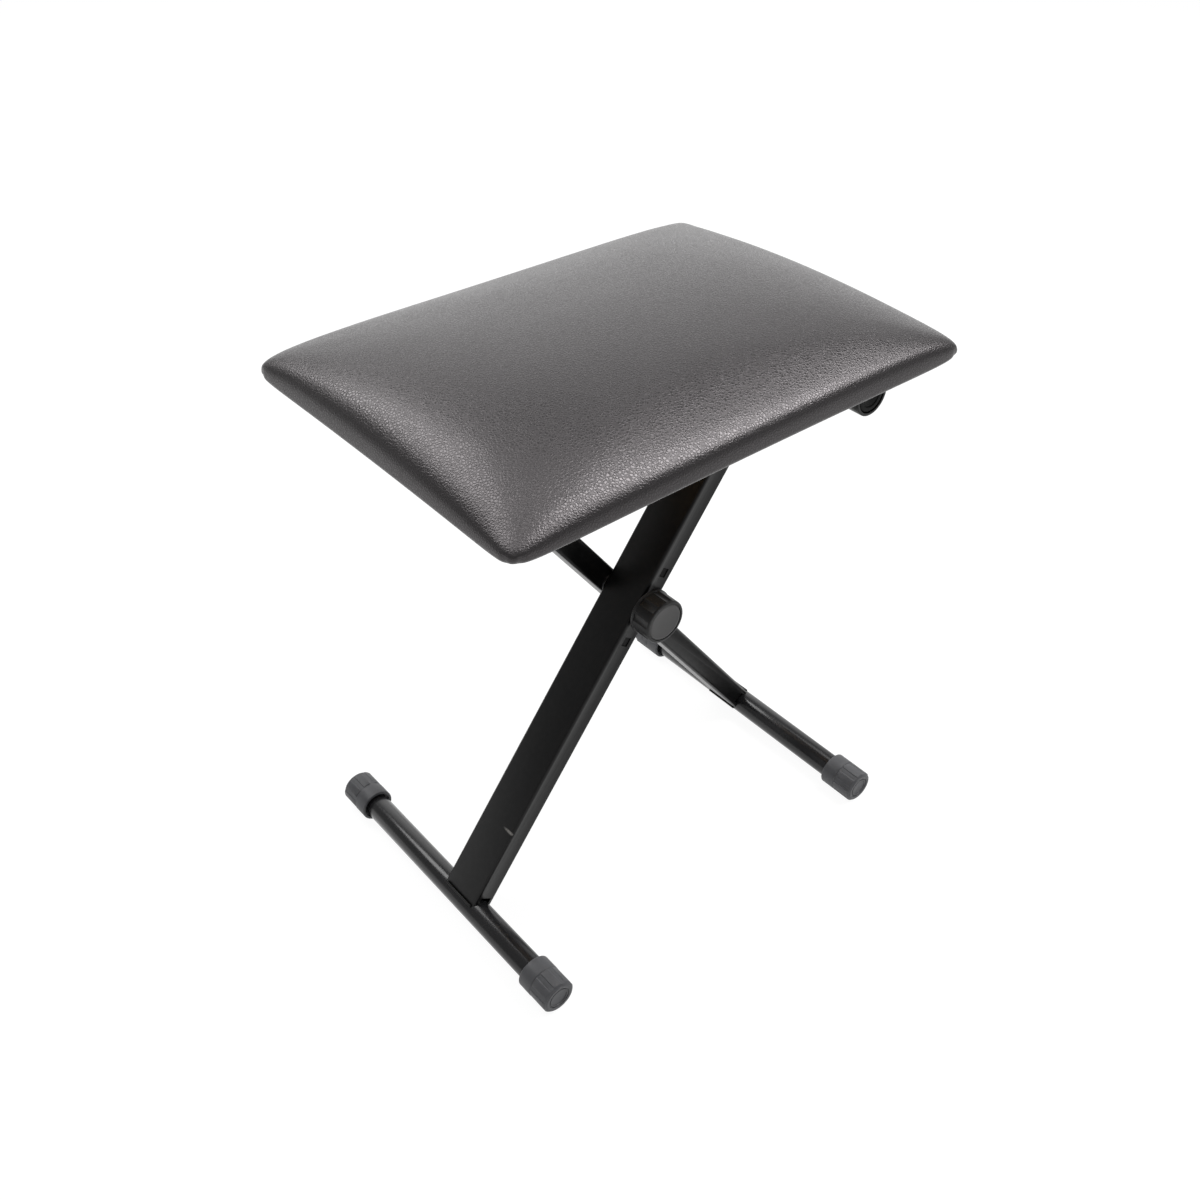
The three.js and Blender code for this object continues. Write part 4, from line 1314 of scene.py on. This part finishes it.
@dataclass
class Cushion:
    """The padded cover: a crowned form with drawn-in sides, turned under the board."""

    # The outline: its size, its rounded corners and how far its sides draw in
    length: float = 0.4125
    depth: float = 0.302
    corner_power: float = 34.0
    corner_hold: float = 12.0
    corner_share: float = 0.9
    long_draw: float = 0.002
    short_draw: float = 0.0018
    # The rim: its height, how it rises at the corners and how it turns under
    rim: float = 0.0037
    corner_rise: float = 0.004
    rise_power: float = 6.0
    corner_lift: float = 0.003
    lift_power: float = 12.0
    lift_reach: float = 0.006
    rim_round: float = 0.003
    rim_steps: int = 6
    flap: float = 0.013
    flap_shares: tuple[float, ...] = (0.2, 0.5, 0.8, 1.0)
    # The crown: its height, its lean and how it falls off along the length and the depth
    crown: float = 0.0412
    twist: float = 0.0025
    twist_onset: float = 3.0
    long_fall: Pair = (5.0, 2.3)
    deep_fall: Pair = (1.92, 2.6)
    # The mesh, and how the filling swells it
    skin: float = 0.001
    steps: tuple[int, int] = (96, 72)
    spacing: float = 1.6
    start_share: float = 0.93
    held_share: float = 0.45
    hold_slope: float = 1.6
    cap: float = 0.006
    side_cap: float = 0.0004
    smoothing: int = 6
    frames: int = 16
    filling: dict[str, float] = field(default_factory=lambda: {
        "quality": 6, "mass": 0.3, "tension_stiffness": 18.0, "compression_stiffness": 18.0,
        "shear_stiffness": 8.0, "bending_stiffness": 0.6, "use_pressure": True,
        "uniform_pressure_force": 4.0, "pin_stiffness": 1.0})
    # The puckers beside each corner
    pucker_place: float = 0.008
    pucker_depth: float = 0.0018
    pucker_width: float = 0.0018
    pucker_reach: float = 0.006
    pucker_height: float = 0.010

    def __post_init__(self) -> None:
        """Read the cover's underside from the frame."""
        self.bottom = NodeBox.of("seat_cover").low.z

    def plan(self, u: float, v: float, inset: float) -> Pair:
        """Where a share of the way out lies in plan.

        Args:
            u: Share of the half length.
            v: Share of the half depth.
            inset: How far inside the outline.

        Returns:
            X and Y.
        """
        give = self.corner_share / (self.corner_power + self.corner_hold + 1)

        def turn(along: float, across: float) -> float:
            """How far the round of a corner pulls a point in."""
            return 1 - give * abs(across) ** self.corner_power * abs(along) ** self.corner_hold

        short = self.short_draw * (1 - v * v) * abs(u)
        long = self.long_draw * (1 - u * u) * abs(v)
        return (u * turn(u, v) * (self.length / 2 - inset - short),
                v * turn(v, u) * (self.depth / 2 - inset - long))

    def height(self, u: float, v: float, share: float) -> float:
        """The cover's height over its underside.

        Args:
            u: Share of the half length.
            v: Share of the half depth.
            share: Share of the full crown.

        Returns:
            The height.
        """
        def fall(along: float, power: float, root: float) -> float:
            """How the crown falls off along one side."""
            return max(0.0, 1 - abs(along) ** power) ** (1 / root)

        edge = self.rim + self.corner_rise * abs(u * v) ** self.rise_power
        bulge = fall(u, *self.long_fall) * fall(v, *self.deep_fall)
        lean = self.twist * u * v * min(1.0, self.twist_onset * bulge)
        return edge + self.crown * share * bulge - lean

    def grid(self) -> Piece:
        """Start from a plain grid whose points know their shares of the seat.

        Returns:
            The grid.
        """
        across, deep = self.steps
        bpy.ops.mesh.primitive_grid_add(x_subdivisions=across, y_subdivisions=deep, size=2)
        piece = named("seat_cushion")
        net = bmesh.new()
        net.from_mesh(piece.data)
        u_layer = net.verts.layers.float.new("u")
        v_layer = net.verts.layers.float.new("v")
        for vert in net.verts:
            for layer, value in ((u_layer, vert.co.x), (v_layer, vert.co.y)):
                vert[layer] = math.copysign(1 - (1 - abs(value)) ** self.spacing, value)
        net.to_mesh(piece.data)
        net.free()
        return piece

    def rim_rings(self) -> list[Pair]:
        """Inset and height above the underside of each ring below the crown.

        Returns:
            Pairs of both, from the top ring.
        """
        turn = self.rim_round
        angles = [number / self.rim_steps * math.pi / 2 for number in range(self.rim_steps + 1)]
        rings = [(turn * (1 - math.cos(angle)), turn * (1 - math.sin(angle))) for angle in angles]
        return rings + [(turn + (self.flap - turn) * share, 0.0) for share in self.flap_shares]

    def shape(self) -> Piece:
        """Extrude the grid's border down and under, and put every point in its place.

        Returns:
            The cover, open only in the middle of its underside.
        """
        piece = self.grid()
        top = len(piece.data.vertices)
        rings = self.rim_rings()
        drop = {"value": (0, 0, -self.rim_round)}
        with editing(piece, "SELECT"):
            bpy.ops.mesh.region_to_loop()
            for _ in rings:
                bpy.ops.mesh.extrude_edges_move(TRANSFORM_OT_translate=drop)
        border = (len(piece.data.vertices) - top) // len(rings)
        net = bmesh.new()
        net.from_mesh(piece.data)
        u_layer, v_layer = net.verts.layers.float["u"], net.verts.layers.float["v"]
        for index, vert in enumerate(net.verts):
            u, v = vert[u_layer], vert[v_layer]
            if index < top:
                inset, lift = 0.0, self.height(u, v, self.start_share)
            else:
                inset, lift = rings[(index - top) // border]
                fade = max(0.0, 1 - inset / self.lift_reach)
                lift += self.corner_lift * abs(u * v) ** self.lift_power * fade
            vert.co = (*self.plan(u, v, inset), self.bottom + lift)
        net.to_mesh(piece.data)
        net.free()
        tidy_normals(piece)
        return piece

    def swell(self, piece: Piece) -> list[Vector]:
        """Run cloth with pressure on the cover, held along the rim.

        Args:
            piece: The cover before it is filled.

        Returns:
            Where each point ends.
        """
        hold = piece.vertex_groups.new(name="held")
        for vert in piece.data.vertices:
            lift = (vert.co.z - self.bottom) / (self.rim + self.held_share * self.crown)
            weight = max(0.0, min(1.0, self.hold_slope * (1 - lift)))
            hold.add([vert.index], weight, "REPLACE")
        cloth = piece.modifiers.new("filling", "CLOTH")
        for key, value in self.filling.items():
            setattr(cloth.settings, key, value)
        cloth.settings.effector_weights.gravity = 0.0
        cloth.settings.vertex_group_mass = hold.name
        cloth.collision_settings.use_collision = False
        cloth.point_cache.frame_start = 1
        cloth.point_cache.frame_end = self.frames
        scene = bpy.context.scene
        for number in range(1, self.frames + 1):
            scene.frame_set(number)
        swollen = piece.evaluated_get(bpy.context.evaluated_depsgraph_get())
        places = [vert.co.copy() for vert in swollen.data.vertices]
        piece.modifiers.remove(cloth)
        piece.vertex_groups.clear()
        scene.frame_set(1)
        return places

    def inflate(self, piece: Piece) -> None:
        """Let the cover swell over the foam, keep a capped share of it and smooth the top.

        Args:
            piece: The cover before it is filled.
        """
        for vert, after in zip(piece.data.vertices, self.swell(piece)):
            step = after - vert.co
            sideways = Vector((step.x, step.y, 0.0))
            if sideways.length > self.side_cap:
                step -= sideways * (1 - self.side_cap / sideways.length)
            if step.length > self.cap:
                step *= self.cap / step.length
            vert.co += step
        with editing(piece):
            pick(piece, "FACE", lambda middle, normal: middle.z > self.bottom + 2 * self.rim)
            bpy.ops.mesh.vertices_smooth(factor=0.5, repeat=self.smoothing)
        highest = max(vert.co.z for vert in piece.data.vertices) - self.bottom
        LOG.info("cushion stands %.1f mm over its underside", highest * 1000)

    def gathers(self, piece: Piece) -> None:
        """Pucker the cover's lower edge where it is gathered, on either side of each corner.

        Args:
            piece: The filled cover.
        """
        for vert in piece.data.vertices:
            lift = vert.co.z - self.bottom
            if lift > self.pucker_height:
                continue
            along_x = abs(math.copysign(self.length / 2, vert.co.x) - vert.co.x)
            along_y = abs(math.copysign(self.depth / 2, vert.co.y) - vert.co.y)
            place = (max(along_x, along_y) - self.pucker_place) / self.pucker_width
            fade = max(0.0, 1 - min(along_x, along_y) / self.pucker_reach)
            fade *= 1 - lift / self.pucker_height
            dent = self.pucker_depth * math.exp(-place * place) * fade
            if along_x < along_y:
                vert.co.x -= math.copysign(dent, vert.co.x)
            else:
                vert.co.y -= math.copysign(dent, vert.co.y)

    def build(self) -> None:
        """Model the cushion, fill it, give it its skin and dress it."""
        piece = self.shape()
        self.inflate(piece)
        self.gathers(piece)
        apply_modifier(piece, "SOLIDIFY", thickness=self.skin, offset=-1.0, use_even_offset=True)
        apply_modifier(piece, "SUBSURF", levels=1, render_levels=1)
        smooth(piece, 80.0)
        dress(piece, FINISHES.seat_vinyl, Body.SEAT, "seat_cover", "seat_foam")


@dataclass
class Staples:
    """The staples that hold the cover's flap to the board."""

    crown: float = 0.010
    wire: float = 0.0011
    height: float = 0.0006
    edge: float = 0.00025
    spacing: float = 0.024
    margin: float = 0.025
    inset: float = 0.0095
    sink: float = 0.0001
    tilt: float = 0.12
    tilt_pace: Pair = (7.3, 2.1)

    def build(self) -> None:
        """Model one staple, set copies round the flap, each tilted a little, and dress them."""
        pace, shift = self.tilt_pace
        cover = Cushion()
        model = block("staple", (-self.crown / 2, -self.wire / 2, -self.height),
                      (self.crown / 2, self.wire / 2, 0))
        soften(model, self.edge)
        copies = []
        sides = ((cover.length / 2, cover.depth / 2, cover.long_draw),
                 (cover.depth / 2, cover.length / 2, cover.short_draw))
        for side, (half, reach, most_draw) in enumerate(sides):
            run = 2 * (half - self.margin)
            count = int(run / self.spacing)
            for sign in (-1, 1):
                for number in range(count + 1):
                    along = -half + self.margin + number * run / count
                    draw = most_draw * (1 - (along / half) ** 2)
                    out = sign * (reach - self.inset - draw)
                    place = (along, out) if side == 0 else (out, along)
                    tilt = self.tilt * math.sin(pace * number + shift * side + sign)
                    turn = Matrix.Rotation(tilt + side * math.pi / 2, 3, "Z")
                    copies.append(copied(model, "staple_copy",
                                         Vector((*place, cover.bottom - self.sink)), turn))
        discard(model)
        dress(joined("flap_staples", copies), FINISHES.plating, Body.SEAT)


@dataclass
class SeatRail:
    """A flat steel rail under the board, with its stop and countersunk screw seats."""

    end: End
    edge: float = 0.0008
    stop_height: float = 0.008
    stop_place: float = -0.0466
    stop_thickness: float = 0.003
    sink_radius: float = 0.0049
    hole_radius: float = 0.0028
    sink_depth: float = 0.003
    sink_rise: float = 0.0014

    def build(self) -> None:
        """Shape the rail from a bar, fold the stop down, sink its screws and dress it."""
        node = f"seat_rail_{self.end.word}"
        box = NodeBox.of(node)
        low = box.low.z + self.stop_height
        piece = block(f"rail_{self.end.word}", (box.low.x, box.low.y, low), box.high)
        stop = block("rail_stop", (self.stop_place, box.low.y, box.low.z),
                     (self.stop_place + self.stop_thickness, box.high.y, low + self.edge))
        combine(piece, "UNION", stop)
        screws = [NodeBox.of(name).centre for name in frame["nodes"] if name.startswith("rail_screw")]
        for screw in screws:
            if screw.y * self.end.value > 0:
                place = (screw.x, screw.y, low + self.sink_rise)
                bpy.ops.mesh.primitive_cone_add(vertices=48, radius1=self.sink_radius,
                                                radius2=self.hole_radius, depth=self.sink_depth,
                                                location=place)
                combine(piece, "DIFFERENCE", named("sink_tool"))
        soften(piece, self.edge, segments=3, sharp=40.0)
        dress(piece, FINISHES.leg_paint, Body.SEAT, node)


@dataclass
class HingeStrap:
    """A bent strap that hangs the hinge bar under a rail."""

    end: End
    thickness: float = 0.0025
    ear: float = 0.015
    edge: float = 0.0005
    sides: int = 96
    slack: float = 0.98

    def build(self) -> None:
        """Cut a half ring, pull its ends up, fold its ears out and dress it."""
        node = f"hinge_strap_{self.end.word}"
        box = NodeBox.of(node)
        centre = NodeBox.of("front_cross_bar").centre
        centre.y = box.centre.y
        outer = centre.z - box.low.z
        inner = outer - self.thickness
        rise = box.high.z - self.thickness - centre.z
        piece = drum(f"strap_{self.end.word}", outer, centre, box.size.y, self.sides)
        with editing(piece, "SELECT"):
            bpy.ops.mesh.bisect(plane_co=centre, plane_no=(0, 0, 1), clear_outer=True, use_fill=True)
        combine(piece, "DIFFERENCE", drum("strap_bore", inner, centre, 2 * box.size.y, self.sides))

        def is_end(middle: Vector, normal: Vector) -> bool:
            """Whether a face is one of the ends of the half ring."""
            return normal.z > FACING and abs(middle.x - centre.x) > inner * self.slack

        with editing(piece):
            for lift in (rise, self.thickness):
                pick(piece, "FACE", is_end)
                bpy.ops.mesh.extrude_region_move(TRANSFORM_OT_translate={"value": (0, 0, lift)})
            for side in (-1, 1):
                pick(piece, "FACE", lambda middle, normal: normal.x * side > FACING and
                     middle.z > centre.z + rise and
                     abs(middle.x - centre.x) > outer * self.slack)
                outwards = {"value": (side * self.ear, 0, 0)}
                bpy.ops.mesh.extrude_region_move(TRANSFORM_OT_translate=outwards)
        tidy_normals(piece)
        soften(piece, self.edge, segments=3, sharp=40.0)
        dress(piece, FINISHES.leg_paint, Body.SEAT, node)


@dataclass
class SeatScrews:
    """The socket-headed screws under the seat."""

    radius: float = 0.0025
    pan_head: tuple[Pair, ...] = (
        (0.0, 0.003), (0.0003, 0.0038), (0.0013, 0.0046), (0.0026, 0.0046), (0.0026, 0.0025))
    flush_head: tuple[Pair, ...] = ((0.0, 0.0046), (0.0026, 0.0025))
    socket_radius: float = 0.0017
    socket_depth: float = 0.0015
    tip_bevel: float = 0.0006
    sides: int = 48
    edge: float = 0.0002

    def screw(self, name: str, head: Sequence[Pair], length: float) -> Piece:
        """Turn a screw standing on its head and sink its six-sided socket.

        Args:
            name: The model's name.
            head: Pairs of height above the head's face and radius.
            length: From the head's face to the tip.

        Returns:
            The screw, with the head's face at the origin.
        """
        tip = ((length - self.tip_bevel, self.radius), (length, self.radius - self.tip_bevel))
        piece = turned(name, [*head, *tip], self.sides)
        moved(piece, Vector((0, 0, 0)), Matrix.Rotation(math.pi / 2, 3, "X"))
        socket = drum("socket", self.socket_radius, (0, 0, 0), 2 * self.socket_depth, 6,
                      axis=Vector((0, 0, 1)))
        combine(piece, "DIFFERENCE", socket)
        soften(piece, self.edge, sharp=25.0)
        return piece

    def build(self) -> None:
        """Model both heads, copy a screw to each place and dress them."""
        names = sorted(name for name in frame["nodes"] if "_screw_" in name)
        for kind, head in (("rail", self.flush_head), ("strap", self.pan_head)):
            alike = [name for name in names if name.startswith(kind)]
            model = self.screw(f"{kind}_model", head, NodeBox.of(alike[0]).size.z)
            for name in alike:
                box = NodeBox.of(name)
                place = Vector((box.centre.x, box.centre.y, box.low.z))
                dress(copied(model, f"{name}_head", place), FINISHES.plating, Body.SEAT, name)
            discard(model)


@dataclass
class HiddenWorks:
    """Nodes of the frame that stay as they are and only get a better finish."""

    finishes: dict[str, Finish] = field(default_factory=lambda: {
        "seat_board": FINISHES.board, "pivot_washer": FINISHES.knob_plastic,
        # The guide block, seen through the leg's square holes, is darkened as painted shade
        "lock_guide_block": FINISHES.shaded_plastic})

    def build(self) -> None:
        """Dress every node that nothing replaces."""
        for name, node in frame["nodes"].items():
            if node.hide_render:
                continue
            finish = self.finishes.get(name, FINISHES.plating)
            node.data.materials.clear()
            node.data.materials.append(finish.material())
            LOG.info("%s: kept from the frame in %s", name, finish.name)


# Studio


@dataclass(frozen=True)
class Lamp:
    """A soft rectangular lamp that faces the seat.

    Its level is how bright its face looks, where 1 is white, and its spin is in degrees.
    """

    name: str
    toward: Point
    distance: float
    size: Pair
    level: float
    spin: float = 0.0

    def hang(self, aim_height: float) -> None:
        """Hang the lamp.

        Args:
            aim_height: Height of the point over the origin that it faces.
        """
        data = bpy.data.lights.new(self.name, "AREA")
        data.shape = "RECTANGLE"
        data.size, data.size_y = self.size
        data.energy = self.level * math.pi * data.size * data.size_y
        lamp = bpy.data.objects.new(self.name, data)
        bpy.context.collection.objects.link(lamp)
        away = Vector(self.toward).normalized()
        aim = (-away).to_track_quat("-Z", "Y").to_matrix()
        turn = Matrix.Rotation(math.radians(self.spin), 3, "Z")
        place = Matrix.Translation(away * self.distance + Vector((0, 0, aim_height)))
        lamp.matrix_world = place @ (aim @ turn).to_4x4()


@dataclass
class Studio:
    """A pale sweep, soft lights and the camera."""

    camera_place: Point = (-0.5520, -0.6385, 0.9030)
    camera_aim: Point = (-0.01042, 0.00199, 0.23898)
    camera_roll: float = 0.423
    lens: float = 39.19
    sensor: float = 36.0
    floor_half: float = 8.0
    floor_tone: Tone = (0.8, 0.8, 0.8)
    floor_glow: float = 1.1
    glow_share: float = 0.85
    white: Tone = (1.0, 1.0, 1.0)
    world_level: float = 0.35
    glow_toward: Point = (0.639, 0.769, 0.05)
    glow_span: Pair = (0.55, 0.95)
    lamp_height: float = 0.45
    lamps: tuple[Lamp, ...] = (
        Lamp("front_box", (0.7021, -0.3278, 1.0), 2.0, (1.42, 0.57), 12.0, 64.8),
        Lamp("left_box", (-0.2899, 0.8657, 1.0), 2.0, (1.33, 0.68), 6.2, -68.8),
        Lamp("top_box", (0.1182, 0.2024, 1.0), 2.0, (1.29, 1.05), 1.9, -20.0),
        Lamp("backdrop", (0.64, 0.77, 0.36), 2.6, (3.6, 1.9), 0.55))

    def camera(self) -> None:
        """Set the camera where the photograph was taken from."""
        data = bpy.data.cameras.new("view")
        data.lens = self.lens
        data.sensor_width = self.sensor
        camera = bpy.data.objects.new("view", data)
        bpy.context.collection.objects.link(camera)
        away = Vector(self.camera_aim) - Vector(self.camera_place)
        aim = away.to_track_quat("-Z", "Y").to_matrix()
        roll = Matrix.Rotation(math.radians(self.camera_roll), 3, "Z")
        camera.matrix_world = Matrix.Translation(self.camera_place) @ (aim @ roll).to_4x4()
        bpy.context.scene.camera = camera

    def floor(self) -> None:
        """Lay the pale floor, which shows as plain white and keeps soft shadows."""
        bpy.ops.mesh.primitive_plane_add(size=2 * self.floor_half)
        floor = named("studio_floor")
        material = bpy.data.materials.new("pale_floor")
        material.use_nodes = True
        sheet = NodeSheet(material.node_tree)
        path = sheet.add("ShaderNodeLightPath").outputs
        seen = sheet.sums("MAXIMUM", path["Is Camera Ray"], path["Is Glossy Ray"])
        seen = sheet.sums("MAXIMUM", seen, path["Is Transmission Ray"])
        share = sheet.sums("MULTIPLY", seen, self.glow_share)
        matt = sheet.add("ShaderNodeBsdfDiffuse", {"Color": opaque(self.floor_tone)})
        glow = sheet.add("ShaderNodeEmission", {"Color": opaque(self.white), "Strength": self.floor_glow})
        mix = sheet.add("ShaderNodeMixShader", {0: share, 1: matt.outputs[0], 2: glow.outputs[0]})
        sheet.add("ShaderNodeOutputMaterial", {0: mix.outputs[0]})
        floor.data.materials.append(material)

    def world(self) -> None:
        """Surround the bench with pale grey that glows white behind it."""
        world = bpy.data.worlds.new("surround")
        bpy.context.scene.world = world
        world.use_nodes = True
        sheet = NodeSheet(world.node_tree)
        toward = sheet.add("ShaderNodeTexCoord").outputs["Generated"]
        near = sheet.add("ShaderNodeVectorMath", {0: toward, 1: self.glow_toward},
                         operation="DOT_PRODUCT").outputs["Value"]
        glow = sheet.spread(near, *self.glow_span, interpolation_type="SMOOTHSTEP")
        rise = sheet.sums("MULTIPLY", glow, 1 - self.world_level)
        level = sheet.sums("ADD", rise, self.world_level)
        back = sheet.add("ShaderNodeBackground", {"Color": opaque(self.white), "Strength": level})
        sheet.add("ShaderNodeOutputWorld", {0: back.outputs[0]})

    def build(self) -> None:
        """Set up the whole studio."""
        self.camera()
        self.floor()
        self.world()
        for lamp in self.lamps:
            lamp.hang(self.lamp_height)
        bpy.context.scene.view_settings.view_transform = "Standard"


def main() -> None:
    """Build the bench piece by piece over the frame, then the studio."""
    logging.basicConfig(level=logging.INFO, format="%(name)s: %(message)s")
    bpy.ops.object.select_all(action="DESELECT")
    for label, body in (("front", Body.FRONT_LEG), ("rear", Body.REAR_LEG)):
        LegTube(label, body).build()
        RoundBar(f"{label}_foot_bar", body, FINISHES.foot_paint).build()
        RoundBar(f"{label}_cross_bar", body, FINISHES.leg_paint).build()
        FootCap(label, body).build()
        BarPlug(label, body).build()
    LockKnob().build()
    PivotFittings().build()
    ReturnSpring().build()
    Cushion().build()
    Staples().build()
    for end in End:
        SeatRail(end).build()
        HingeStrap(end).build()
    SeatScrews().build()
    HiddenWorks().build()
    Studio().build()


if __name__ == "__main__":
    main()
